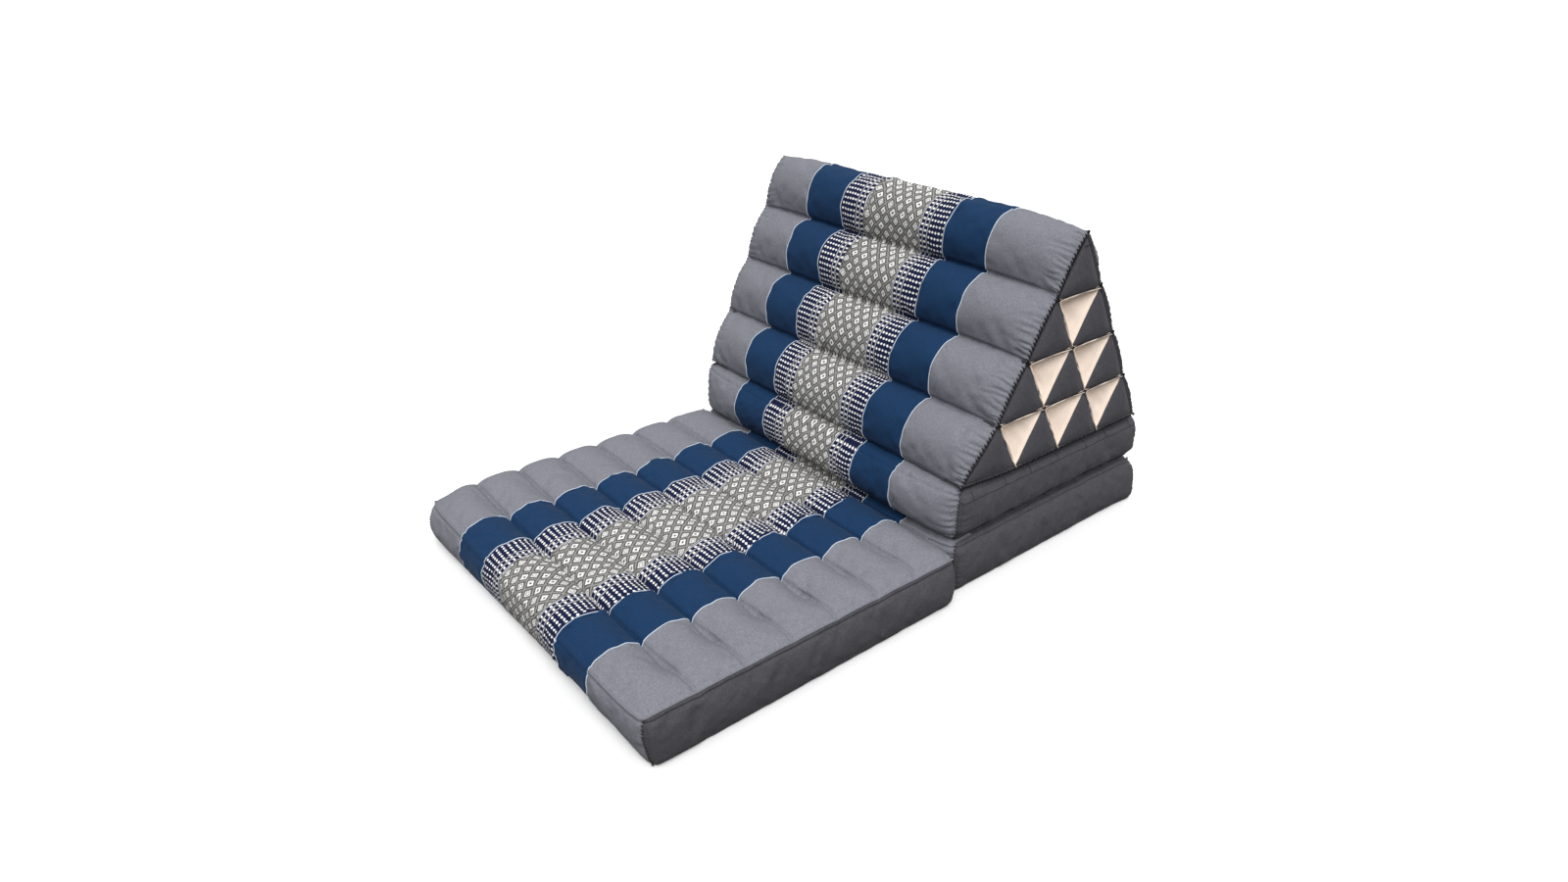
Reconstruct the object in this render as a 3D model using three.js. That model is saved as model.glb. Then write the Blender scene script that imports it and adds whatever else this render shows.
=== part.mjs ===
import * as THREE from "three";

// Thai triangle cushion folded out as a floor seat, in millimetres, +Z up.
// A seat pad lies in front (towards -Y), two more pads are stacked behind it, and a triangle
// bolster of long filled rolls stands on the stack. Cloth hinges join one part to the next.
// While it is built, y = 0 is the seat pad's back corner. At the end the whole part is moved so
// that its origin is the middle of its own outer box, on the floor.

const GAP = 0.3;

// Sizes of the three pads. A pad runs from its front corners (y0) to its back corners (y1) and
// from its underside (z0) to its upper seam (z1). Between the corners its seams swell out, its
// end faces and sides belly out further, and its channels' crests stand above the seam while the
// sewn grooves between them sink below it.
const SEAT = {
  centreX: 0, width: 530, y0: -424, y1: 0, z0: 0, z1: 64, channels: 7, crest: 8, groove: 5,
  frontSwell: 5, backSwell: 6, frontBelly: 9, backBelly: 2, sideBelly: 9,
};
const LOWER = {
  centreX: -6, width: 512, y0: 25, y1: 393, z0: 0, z1: 65, channels: 6, crest: 6.7, groove: 4,
  frontSwell: 11, backSwell: 4, frontBelly: 5.5, backBelly: 7, sideBelly: 9,
};
const UPPER = {
  centreX: -6, width: 512, y0: 25, y1: 381, z0: 72, z1: 138, channels: 6, crest: 7.7, groove: 3,
  frontSwell: 5, backSwell: 4, frontBelly: 17, backBelly: 8, sideBelly: 8,
};

// The pads' corners: how far a lower seam stands above the underside and outside its flat, the
// share of a pad's half width that lies flat, how sharply the swelling ends there, and how far
// an end face still bellies out at its corners.
const SEAM_LIFT = 4;
const UNDER_INSET = 7;
const FLAT_SHARE = 0.86;
const PAD_POWER = 7;
const CORNER_BELLY = 4;

// The pads' cross-sections: x as a share of the half width, steps along the underside, heights
// up an end face, and steps across one channel.
const PAD_STATIONS = [0, 0.2, 0.37, 0.52, 0.65, 0.76, 0.86, 0.93, 0.975, 1];
const UNDER_STEPS = 4;
const FACE_HEIGHTS = [0, 0.22, 0.5, 0.78, 1];
const CHANNEL_STEPS = [0.2, 0.5, 0.8, 1];

// The side border's rings: how far out of its full belly, and how far drawn in from the seam,
// as a share. The belly is fullest a little below the middle.
const BORDER_RINGS = [
  { out: 0.62, drawIn: 0.16 },
  { out: 1, drawIn: 0.6 },
];
const BORDER_ROUND = 12;
const BELLY_HEIGHT = 0.42;

// Sizes of the triangle bolster: its width, its three corners, its rolls on each slope, how far
// a roll swells over its chord in the middle and at the end seams, and the rise of the ridge.
const BOLSTER = {
  centreX: -6, width: 528, baseZ: 146, apexZ: 424, frontY: 25, backY: 362, apexY: 194,
  rows: 4, rollSwell: 23, endSwell: 3.5, ridgeRise: 8,
};
const ROLL_POWER = 4;
const ROLL_STATIONS = [0, 0.35, 0.6, 0.77, 0.88, 0.945, 0.98, 1];

// The bolster's left end leans out towards the ridge: how far it is drawn in at the base, and how
// far it stands out and up at the ridge.
const LEFT_LEAN = { baseIn: 10, ridgeOut: 24, ridgeUp: 7 };
const FRONT_STEPS = 6;
const BACK_STEPS = 5;
const BASE_STEPS = 4;

// The bolster's ends: the seam's rim round a shallow well, and the well's depth.
const RIM = 2.5;
const WELL = 30;

// Outlines of the end pieces from the well's floor outwards: distance out from the end seam, and
// how far drawn in to the middle, as a share. The last row is the middle point.
const CAP_PROFILE = [
  { out: GAP - WELL, drawIn: 0 },
  { out: -1, drawIn: 0 },
  { out: 2.2, drawIn: 0.16 },
  { out: 5, drawIn: 0.5 },
  { out: 6, drawIn: 1 },
];
const POCKET_PROFILE = [
  { out: GAP - WELL, drawIn: 0 },
  { out: -1.5, drawIn: 0 },
  { out: -1.5, drawIn: 0.06 },
  { out: -15, drawIn: 0.5 },
  { out: -25, drawIn: 1 },
];
const SIDE_STEPS = 3;
const NODE_PINCH = 2;

// The hinges: strips of doubled cover cloth, how far the one behind stands off the upper pad, and
// the shares of the half width at which their sections lie.
const CLOTH = 2;
const BACK_STANDOFF = 1;
const HINGE_STATIONS = [-0.86, -0.7, -0.4, 0, 0.4, 0.7, 0.86];

const GREY = cloth(0x77787e, 0.92);
const CHARCOAL = cloth(0x4f4f55, 0.93);
const NATURAL = cloth(0xe8d0b4, 0.9);

function cloth(color, roughness) {
  return new THREE.MeshStandardMaterial({ color, roughness, metalness: 0 });
}

// How full the swelling is at u: 1 in the middle, falling to 0 at the seams, where u is 1.
function fullness(u, power) {
  return Math.sqrt(Math.max(0, 1 - Math.abs(u) ** power));
}

function bothSides(stations) {
  return [...stations.slice(1).reverse().map((u) => -u), ...stations];
}

// A closed solid through rings of equal length, each anticlockwise as seen from +X. The ends are
// closed on a middle point, which stands at the x given or else in its ring's own plane.
function loft(rings, firstTipX = rings[0][0].x, lastTipX = rings.at(-1)[0].x) {
  const count = rings[0].length;
  const points = rings.flat();
  const faces = [];
  for (let r = 0; r < rings.length - 1; r++) {
    for (let i = 0; i < count; i++) {
      const a = r * count + i;
      const b = r * count + ((i + 1) % count);
      faces.push(a, b, b + count, a, b + count, a + count);
    }
  }
  const close = (ring, start, tipX, isLast) => {
    const tip = new THREE.Vector3();
    ring.forEach((point) => tip.addScaledVector(point, 1 / count));
    tip.x = tipX;
    const middle = points.push(tip) - 1;
    for (let i = 0; i < count; i++) {
      const a = start + i;
      const b = start + ((i + 1) % count);
      faces.push(middle, isLast ? a : b, isLast ? b : a);
    }
  };
  close(rings[0], 0, firstTipX, false);
  close(rings.at(-1), (rings.length - 1) * count, lastTipX, true);
  const geometry = new THREE.BufferGeometry().setFromPoints(points);
  geometry.setIndex(faces);
  geometry.computeVertexNormals();
  return geometry;
}

function ringAt(x, outline) {
  return outline.map(([y, z]) => new THREE.Vector3(x, y, z));
}

// Where a pad's end seams run at u: their y in front and behind, and their height.
function padSeams(pad, u) {
  const full = fullness(u, PAD_POWER);
  return {
    full,
    front: pad.y0 - pad.frontSwell * full,
    back: pad.y1 + pad.backSwell * full,
    top: pad.z1 - pad.groove * full,
  };
}

// Points up an end face from its lower to its upper seam. It faces back (side 1) or front (-1).
function facePoints(y, low, high, belly, full, side) {
  const out = side * THREE.MathUtils.lerp(CORNER_BELLY, belly, full);
  return FACE_HEIGHTS.map((t) => [
    y + out * Math.sin(Math.PI * t),
    THREE.MathUtils.lerp(low, high, t),
  ]);
}

// One cross-section of a pad: underside, back face, channelled top, front face.
function padOutline(pad, u) {
  const { full, front, back, top } = padSeams(pad, u);
  const rise = Math.max(0, (Math.abs(u) - FLAT_SHARE) / (1 - FLAT_SHARE)) ** 2;
  const bottom = pad.z0 + SEAM_LIFT * rise;
  const low = pad.z0 + SEAM_LIFT;
  const outline = [];
  for (let i = 0; i <= UNDER_STEPS; i++) {
    const run = i / UNDER_STEPS;
    outline.push([THREE.MathUtils.lerp(front + UNDER_INSET, back - UNDER_INSET, run), bottom]);
  }
  outline.push(...facePoints(back, low, top, pad.backBelly, full, 1));
  for (let channel = 0; channel < pad.channels; channel++) {
    for (const step of CHANNEL_STEPS) {
      const arch = Math.sqrt(1 - (2 * step - 1) ** 2);
      const run = (channel + step) / pad.channels;
      const z = top + (pad.crest + pad.groove) * arch * full;
      outline.push([THREE.MathUtils.lerp(back, front, run), z]);
    }
  }
  outline.pop();
  outline.push(...facePoints(front, low, top, pad.frontBelly, full, -1).reverse());
  return outline;
}

// The border cloth down one side of a pad bellies out between its upper and lower seams.
function borderRings(pad, side) {
  const middleY = (pad.y0 + pad.y1) / 2;
  const middleZ = THREE.MathUtils.lerp(pad.z0 + SEAM_LIFT, pad.z1, BELLY_HEIGHT);
  const halfLength = (pad.y1 - pad.y0) / 2;
  return BORDER_RINGS.map(({ out, drawIn }) => {
    const x = pad.centreX + side * (pad.width / 2 + out * pad.sideBelly);
    const shorter = 1 - (drawIn * BORDER_ROUND) / halfLength;
    return ringAt(x, padOutline(pad, 1).map(([y, z]) => [
      middleY + (y - middleY) * shorter,
      middleZ + (z - middleZ) * (1 - drawIn),
    ]));
  });
}

function padSolid(pad) {
  const rings = bothSides(PAD_STATIONS).map((u) =>
    ringAt(pad.centreX + (u * pad.width) / 2, padOutline(pad, u)),
  );
  return loft([...borderRings(pad, -1).reverse(), ...rings, ...borderRings(pad, 1)]);
}

// The bolster's corners as [y, z], and points on the straight line between two of them.
const APEX = [BOLSTER.apexY, BOLSTER.apexZ];
const FRONT = [BOLSTER.frontY, BOLSTER.baseZ];
const BACK = [BOLSTER.backY, BOLSTER.baseZ];

function between(a, b, run) {
  return [THREE.MathUtils.lerp(a[0], b[0], run), THREE.MathUtils.lerp(a[1], b[1], run)];
}

function distance(a, b) {
  return Math.hypot(b[0] - a[0], b[1] - a[1]);
}

// Height of a round arc over its chord, at a run of 0 to 1 along the chord.
function arc(run, chord, height) {
  const radius = (chord ** 2 / 4 + height ** 2) / (2 * height);
  return Math.sqrt(radius ** 2 - ((run - 0.5) * chord) ** 2) - (radius - height);
}

// Points down or up one slope of equal rolls from a to b, without its last point.
function slope(a, b, steps, swell) {
  const length = distance(a, b);
  const outward = [(b[1] - a[1]) / length, (a[0] - b[0]) / length];
  const points = [];
  for (let i = 0; i < BOLSTER.rows * steps; i++) {
    const [y, z] = between(a, b, i / (BOLSTER.rows * steps));
    const height = arc((i % steps) / steps, length / BOLSTER.rows, swell);
    points.push([y + outward[0] * height, z + outward[1] * height]);
  }
  return points;
}

function straight(a, b, steps) {
  return Array.from({ length: steps }, (_, i) => between(a, b, i / steps));
}

function bolsterOutline(u) {
  const full = fullness(u, ROLL_POWER);
  const swell = BOLSTER.endSwell + (BOLSTER.rollSwell - BOLSTER.endSwell) * full;
  const ridge = [APEX[0], APEX[1] + BOLSTER.ridgeRise * full];
  return [
    ...straight(FRONT, BACK, BASE_STEPS),
    ...slope(BACK, ridge, BACK_STEPS, swell),
    ...slope(ridge, FRONT, FRONT_STEPS, swell),
  ];
}

// A triangle of [y, z] corners with each side moved in by the same inset.
function insetTriangle(corners, inset) {
  const [a, b, c] = corners;
  const sides = [distance(b, c), distance(c, a), distance(a, b)];
  const around = sides[0] + sides[1] + sides[2];
  const area = Math.abs((b[0] - a[0]) * (c[1] - a[1]) - (c[0] - a[0]) * (b[1] - a[1])) / 2;
  const centre = [0, 1].map((k) => corners.reduce((sum, p, i) => sum + p[k] * sides[i], 0) / around);
  return corners.map((corner) => between(corner, centre, (inset * around) / (2 * area)));
}

function bolsterSolid() {
  const half = BOLSTER.width / 2;
  const rings = bothSides(ROLL_STATIONS).map((u) =>
    ringAt(BOLSTER.centreX + u * half, bolsterOutline(u)),
  );
  const [apex, front, back] = insetTriangle([APEX, FRONT, BACK], RIM);
  const rim = [
    ...straight(front, back, BASE_STEPS),
    ...straight(back, apex, BOLSTER.rows * BACK_STEPS),
    ...straight(apex, front, BOLSTER.rows * FRONT_STEPS),
  ];
  const wellAt = (side, depth) => ringAt(BOLSTER.centreX + side * (half - depth), rim);
  return loft([wellAt(-1, WELL), wellAt(-1, 0), ...rings, wellAt(1, 0), wellAt(1, WELL)]);
}

// Lines of points that divide a bolster's end into its small triangles, from the apex down.
function endLines() {
  const [apex, front, back] = insetTriangle([APEX, FRONT, BACK], RIM + GAP / 2);
  const lines = [[apex]];
  for (let row = 1; row <= BOLSTER.rows; row++) {
    const run = row / BOLSTER.rows;
    const line = [];
    const ends = [between(apex, front, run), between(apex, back, run)];
    for (let i = 0; i <= row; i++) line.push(between(ends[0], ends[1], i / row));
    lines.push(line);
  }
  return lines;
}

// A three-sided end piece through the rows of its profile, for the side of the bolster given.
function endPiece(corners, profile, side) {
  const edges = insetTriangle(corners, GAP / 2);
  const middle = [0, 1].map((k) => edges.reduce((sum, p) => sum + p[k] / 3, 0));
  const seamX = BOLSTER.width / 2;
  const rings = profile.slice(0, -1).map(({ out, drawIn }, level) => {
    const outline = edges.flatMap((corner, i) => straight(corner, edges[(i + 1) % 3], SIDE_STEPS));
    return outline.map((point, i) => {
      const pinch = level > 0 && i % SIDE_STEPS === 0 ? NODE_PINCH * (1 - drawIn) : 0;
      const [y, z] = between(point, middle, drawIn);
      return new THREE.Vector3(BOLSTER.centreX + side * (seamX + out - pinch), y, z);
    });
  });
  const tipX = BOLSTER.centreX + side * (seamX + profile.at(-1).out);
  if (side > 0) return loft(rings, undefined, tipX);
  return loft(rings.reverse(), tipX);
}

// A hinge from its outline at each station: a strip of cloth a little clear of both pads.
function hingeSolid(centreX, width, outlineAt) {
  return loft(HINGE_STATIONS.map((u) => ringAt(centreX + (u * width) / 2, outlineAt(u))));
}

// Between the seat pad's back seam and the lower pad's front seam, across the crease.
function seatHinge(u) {
  const from = padSeams(SEAT, u);
  const to = padSeams(LOWER, u);
  const low = Math.max(from.top, to.top) + GAP;
  return [
    [from.back + GAP, low],
    [to.front - GAP, low],
    [to.front - GAP, low + CLOTH],
    [from.back + GAP, low + CLOTH],
  ];
}

// Up the back from the lower pad's upper seam to the upper pad's lower seam.
function backHinge(u) {
  const from = padSeams(LOWER, u);
  const to = padSeams(UPPER, u);
  const high = UPPER.z0 + SEAM_LIFT;
  const inner = to.back + BACK_STANDOFF;
  return [
    [from.back, from.top + 2 * GAP],
    [from.back + CLOTH, from.top + CLOTH],
    [inner + CLOTH, high - CLOTH],
    [inner + CLOTH, high],
    [inner, high],
    [inner, high - 2 * CLOTH],
  ];
}

// In front from the upper pad's upper seam to the bolster's base.
function frontHinge(u) {
  const { front, top } = padSeams(UPPER, u);
  return [
    [front - GAP - CLOTH, top + GAP],
    [front - GAP, top + GAP],
    [front - GAP, BOLSTER.baseZ - GAP],
    [front - GAP - CLOTH, BOLSTER.baseZ - GAP],
  ];
}

const group = new THREE.Group();

// Leans the left end of a bolster piece: the shift grows from the middle to the end.
function leanLeft(geometry) {
  const position = geometry.getAttribute("position");
  for (let i = 0; i < position.count; i++) {
    const end = Math.max(0, (BOLSTER.centreX - position.getX(i)) / (BOLSTER.width / 2));
    const height = (position.getZ(i) - BOLSTER.baseZ) / (BOLSTER.apexZ - BOLSTER.baseZ);
    const out = THREE.MathUtils.lerp(-LEFT_LEAN.baseIn, LEFT_LEAN.ridgeOut, height);
    position.setX(i, position.getX(i) - out * end);
    position.setZ(i, position.getZ(i) + LEFT_LEAN.ridgeUp * height * end ** 2);
  }
  geometry.computeVertexNormals();
  return geometry;
}

function addPiece(name, geometry, material) {
  const mesh = new THREE.Mesh(geometry, material);
  mesh.name = name;
  group.add(mesh);
}

addPiece("seat_pad", padSolid(SEAT), GREY);
addPiece("lower_pad", padSolid(LOWER), GREY);
addPiece("upper_pad", padSolid(UPPER), GREY);
addPiece("bolster", leanLeft(bolsterSolid()), GREY);
addPiece("hinge_seat", hingeSolid(LOWER.centreX, LOWER.width, seatHinge), GREY);
addPiece("hinge_back", hingeSolid(LOWER.centreX, LOWER.width, backHinge), CHARCOAL);
addPiece("hinge_front", hingeSolid(UPPER.centreX, UPPER.width, frontHinge), GREY);

const lines = endLines();
for (const [sideName, side] of [["right", 1], ["left", -1]]) {
  for (let row = 1; row <= BOLSTER.rows; row++) {
    for (let i = 0; i < row; i++) {
      const corners = [lines[row - 1][i], lines[row][i], lines[row][i + 1]];
      const cap = leanLeft(endPiece(corners, CAP_PROFILE, side));
      addPiece(`cap_${sideName}_${row}_${i + 1}`, cap, CHARCOAL);
    }
    for (let i = 0; i < row - 1; i++) {
      const corners = [lines[row - 1][i], lines[row][i + 1], lines[row - 1][i + 1]];
      const pocket = leanLeft(endPiece(corners, POCKET_PROFILE, side));
      addPiece(`pocket_${sideName}_${row}_${i + 1}`, pocket, NATURAL);
    }
  }
}

// The origin goes to the middle of the part's outer box, on the floor.
const box = new THREE.Box3().setFromObject(group);
const centre = box.getCenter(new THREE.Vector3());
group.position.set(-centre.x, -centre.y, -box.min.z);

export default group;
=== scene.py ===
"""Thai triangle cushion, folded out as a floor seat: its cloth, seams, patterns, light and camera.

Lengths are in millimetres in the maker's frame, where y = 0 is the back corner of the seat pad, until
a mesh is made. Place.metres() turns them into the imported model's frame.
"""

import logging
import math
from dataclasses import dataclass, field
from enum import Enum

import bpy
import numpy as np
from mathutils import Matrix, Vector


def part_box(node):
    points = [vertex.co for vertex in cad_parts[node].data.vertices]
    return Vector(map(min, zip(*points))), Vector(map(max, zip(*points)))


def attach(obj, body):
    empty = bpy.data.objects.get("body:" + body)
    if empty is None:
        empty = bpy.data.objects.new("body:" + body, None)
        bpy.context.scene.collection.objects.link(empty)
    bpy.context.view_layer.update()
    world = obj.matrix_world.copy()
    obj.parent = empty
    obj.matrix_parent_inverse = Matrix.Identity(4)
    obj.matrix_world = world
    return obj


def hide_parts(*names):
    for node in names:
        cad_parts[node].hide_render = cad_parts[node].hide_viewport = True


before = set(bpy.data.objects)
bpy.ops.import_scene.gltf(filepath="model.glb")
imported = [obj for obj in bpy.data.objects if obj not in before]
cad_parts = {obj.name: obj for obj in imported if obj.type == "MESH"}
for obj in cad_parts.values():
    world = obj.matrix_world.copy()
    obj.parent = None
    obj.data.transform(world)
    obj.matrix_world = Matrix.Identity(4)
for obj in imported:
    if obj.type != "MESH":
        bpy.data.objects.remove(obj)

Array = np.ndarray
LOG = logging.getLogger("triangle_cushion")
MM = 0.001
BODY = "root"


class Cloth(Enum):
    """The cover cloths, in the order of a cover's material slots."""

    GREY = 0
    BLUE = 1
    DOTTED = 2
    DIAMONDS = 3
    CHARCOAL = 4


class Side(Enum):
    """The two ends of the cushion, by the sign of x."""

    RIGHT = 1
    LEFT = -1


@dataclass(frozen=True)
class Place:
    """Where the maker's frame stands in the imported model's frame, in millimetres."""

    shift: tuple[float, float, float]

    @classmethod
    def from_seat(cls, corner: tuple[float, float, float]) -> "Place":
        """Finds the shift from the seat pad's node.

        Args:
            corner: The node's lowest corner in the maker's frame.

        Returns:
            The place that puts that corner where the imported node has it.
        """
        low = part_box("seat_pad")[0]
        return cls(tuple(low[k] / MM - corner[k] for k in range(3)))

    def metres(self, points: Array) -> Array:
        """Gives points of the maker's frame in the model's frame.

        Args:
            points: Points in millimetres, in rows of three.

        Returns:
            The points in metres.
        """
        return (points + np.array(self.shift)) * MM


def srgb(code: str) -> tuple[float, float, float, float]:
    """Turns an sRGB hex colour to linear.

    Args:
        code: Six hex digits, such as "8a8b91".

    Returns:
        Linear red, green and blue, and an alpha of 1.
    """
    parts = [int(code[i : i + 2], 16) / 255 for i in (0, 2, 4)]
    linear = [p / 12.92 if p <= 0.04045 else ((p + 0.055) / 1.055) ** 2.4 for p in parts]
    return (*linear, 1.0)


def ease(low: float, high: float, value: Array) -> Array:
    """Rises smoothly from 0 at low to 1 at high.

    Args:
        low: Where the rise begins.
        high: Where it ends.
        value: The values to map.

    Returns:
        The eased values, from 0 to 1.
    """
    t = np.clip((value - low) / (high - low), 0, 1)
    return t * t * (3 - 2 * t)


def lerp(a: Array, b: Array, t: Array) -> Array:
    """Goes from a to b as t goes from 0 to 1."""
    return a + (b - a) * t


def hump(offset: Array, width: float | Array) -> Array:
    """Makes a soft hump: 1 where the offset is 0, falling off over the width."""
    return np.exp(-((offset / width) ** 2))


def travelled(path: Array) -> Array:
    """Measures the distance along a path to each of its points."""
    return np.concatenate([[0], np.cumsum(np.linalg.norm(np.diff(path, axis=0), axis=1))])


def show(name: str, data: object) -> bpy.types.Object:
    """Puts a new object into the scene.

    Args:
        name: The object's name.
        data: Its mesh, camera or light.

    Returns:
        The object.
    """
    made = bpy.data.objects.new(name, data)
    bpy.context.scene.collection.objects.link(made)
    return made


def graded(length: float, fine: float, coarse: float, reach: float) -> Array:
    """Spaces points from 0 to length, close together near both ends.

    Args:
        length: The whole length.
        fine: The spacing at the ends.
        coarse: The spacing in the middle.
        reach: How far from an end the spacing grows to coarse.

    Returns:
        The positions, with 0 and length among them.
    """
    along = np.linspace(0, length, 400)
    step = lerp(fine, coarse, ease(0, reach, np.minimum(along, length - along)))
    count = np.concatenate([[0], np.cumsum(np.diff(along) / ((step[1:] + step[:-1]) / 2))])
    whole = max(2, round(count[-1]))
    return np.interp(np.linspace(0, count[-1], whole + 1), count, along)


def resample(values: Array, old: Array, new: Array) -> Array:
    """Resamples rows of values on a smooth curve through them.

    Args:
        values: One entry per old position, along the first axis.
        old: The positions of the values.
        new: The positions wanted.

    Returns:
        One entry per new position.
    """
    slope = np.gradient(values, old, axis=0)
    i = np.clip(np.searchsorted(old, new, side="right") - 1, 0, len(old) - 2)
    h = old[i + 1] - old[i]
    shape = (-1,) + (1,) * (values.ndim - 1)
    t = ((new - old[i]) / h).reshape(shape)
    h = h.reshape(shape)
    return (
        (2 * t**3 - 3 * t**2 + 1) * values[i]
        + (t**3 - 2 * t**2 + t) * h * slope[i]
        + (3 * t**2 - 2 * t**3) * values[i + 1]
        + (t**3 - t**2) * h * slope[i + 1]
    )


def ripple(x: Array, y: Array, wave: float, seed: int) -> Array:
    """Makes soft irregular waves.

    Args:
        x: Places across, in millimetres.
        y: Places along, in millimetres.
        wave: The mean length of the waves.
        seed: Picks one of many such surfaces.

    Returns:
        Heights that mostly lie between -1 and 1.
    """
    rng = np.random.default_rng(seed)
    total = np.zeros(np.broadcast(x, y).shape)
    waves = 9
    for _ in range(waves):
        turn, phase = rng.uniform(0, 2 * math.pi, 2)
        length = wave * rng.uniform(0.6, 1.7)
        total += np.cos((x * math.cos(turn) + y * math.sin(turn)) * 2 * math.pi / length + phase)
    return total / math.sqrt(waves * 1.2)


def pleats(along: Array, away: Array, length: float, pitch: float, reach: float, seed: int) -> Array:
    """Makes the narrow folds where cloth is gathered into a seam.

    Args:
        along: Distance along the seam.
        away: Distance from the seam.
        length: The seam's whole length.
        pitch: The mean distance between folds.
        reach: The mean length of a fold.
        seed: Picks the folds.

    Returns:
        Depths from 0 to about -1.
    """
    rng = np.random.default_rng(seed)
    total = np.zeros(np.broadcast(along, away).shape)
    place = pitch * rng.uniform(0.3, 0.8)
    while place < length:
        run, depth = reach * rng.uniform(0.45, 1.35), rng.uniform(0.5, 1)
        width = pitch * rng.uniform(0.17, 0.3)
        skew = rng.uniform(-0.22, 0.22)
        bend = rng.uniform(-0.004, 0.004)
        offset = along - place - skew * away - bend * away**2
        grown = width * (1 + away / reach * 0.7)
        fade = 1 - ease(0.15 * run, run, away)
        total = np.minimum(total, -depth * fade * hump(offset, grown))
        place += pitch * rng.uniform(0.65, 1.4)
    return total


def fullness(u: Array, power: float) -> Array:
    """Says how full a filled piece is: 1 in its middle and 0 at its seams, where u is 1."""
    return np.sqrt(np.clip(1 - np.abs(u) ** power, 0, None))


def dome(share: Array, power: float) -> Array:
    """Rises steeply from 0 at share 0 and levels out to 1 at share 1."""
    return (1 - (1 - np.clip(share, 0, 1)) ** power) ** (1 / power)


@dataclass
class Patch:
    """A grid of points on a piece of cloth.

    Attributes:
        points: Rows by columns by three, in millimetres.
        cloth: Rows by columns by two, the place on the flat cloth in millimetres.
        rows: The parameter of each row.
        columns: The parameter of each column.
        finish: The material of each face.
        lift: How far each point is raised along the surface's normal in the end.
        pin: How firmly each point is held while the filling presses, from 0 to 1.
        flip: Whether the faces are turned over.
    """

    points: Array
    cloth: Array
    rows: Array
    columns: Array
    finish: Array
    lift: Array
    pin: Array
    flip: bool = False


def cut(points: Array, rows: Array, columns: Array, finish: Array | int, over: Array, up: Array,
        flip: bool) -> Patch:
    """Cuts a panel and holds it at its edges.

    Args:
        points: Its points, rows by columns by three.
        rows: The rows' parameter.
        columns: The columns' parameter.
        finish: The cloth of each face.
        over: The columns' place on the flat cloth.
        up: The rows' place on it.
        flip: Whether the faces are turned over.

    Returns:
        The panel.
    """
    held = np.zeros(points.shape[:2])
    held[[0, -1], :] = 1
    held[:, [0, -1]] = 1
    cloth = np.stack(np.meshgrid(over, up), -1)
    return Patch(points, cloth, rows, columns, finish, np.zeros_like(held), held, flip)


@dataclass
class Shell:
    """Patches joined to one closed surface.

    Attributes:
        points: The joined points, in millimetres.
        faces: Corner numbers of each face.
        cloth: The place on the flat cloth of each face corner.
        finish: The material of each face.
        lift: The lift of each point.
        pin: The hold of each point.
        index: For each patch, the joined point of each of its own points.
    """

    points: Array
    faces: list[tuple[int, ...]]
    cloth: Array
    finish: Array
    lift: Array
    pin: Array
    index: list[Array]

    def normals(self) -> Array:
        """Averages the face normals at each point.

        Returns:
            A unit vector for each point.
        """
        total = np.zeros_like(self.points)
        for size in (3, 4):
            corners = np.array([f for f in self.faces if len(f) == size]).reshape(-1, size)
            if not len(corners):
                continue
            p = self.points[corners]
            ends = (p[:, 1], p[:, 2]) if size == 3 else (p[:, 2], p[:, 3])
            starts = (p[:, 0], p[:, 0]) if size == 3 else (p[:, 0], p[:, 1])
            normal = np.cross(ends[0] - starts[0], ends[1] - starts[1])
            for k in range(size):
                np.add.at(total, corners[:, k], normal)
        return total / np.maximum(np.linalg.norm(total, axis=1, keepdims=True), 1e-9)


def weld(patches: list[Patch]) -> Shell:
    """Joins patches where their points meet.

    Args:
        patches: The patches of one piece.

    Returns:
        The joined surface.
    """
    flat = np.concatenate([p.points.reshape(-1, 3) for p in patches])
    _, first, inverse = np.unique(
        np.round(flat, 3), axis=0, return_index=True, return_inverse=True
    )
    inverse = inverse.reshape(-1)
    count = np.bincount(inverse)
    lift = np.bincount(inverse, np.concatenate([p.lift.ravel() for p in patches])) / count
    pin = np.zeros(len(first))
    np.maximum.at(pin, inverse, np.concatenate([p.pin.ravel() for p in patches]))
    faces, cloth, finish, index = [], [], [], []
    start = 0
    for patch in patches:
        shape = patch.points.shape[:2]
        grid = inverse[start : start + shape[0] * shape[1]].reshape(shape)
        start += shape[0] * shape[1]
        index.append(grid)
        steps = ((0, 0), (0, 1), (1, 1), (1, 0))
        if patch.flip:
            steps = steps[::-1]
        ends = (shape[0] - 1, shape[1] - 1)
        corners = np.stack([grid[i : ends[0] + i, j : ends[1] + j] for i, j in steps], -1)
        places = np.stack([patch.cloth[i : ends[0] + i, j : ends[1] + j] for i, j in steps], 2)
        kinds = np.broadcast_to(patch.finish, ends).ravel()
        for corner, place, kind in zip(corners.reshape(-1, 4), places.reshape(-1, 4, 2), kinds):
            keep = [k for k in range(4) if corner[k] != corner[k - 1]]
            if len(keep) < 3 or len({corner[k] for k in keep}) < len(keep):
                continue
            faces.append(tuple(int(corner[k]) for k in keep))
            cloth.extend(place[keep])
            finish.append(kind)
    return Shell(flat[first], faces, np.array(cloth), np.array(finish), lift, pin, index)


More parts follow.
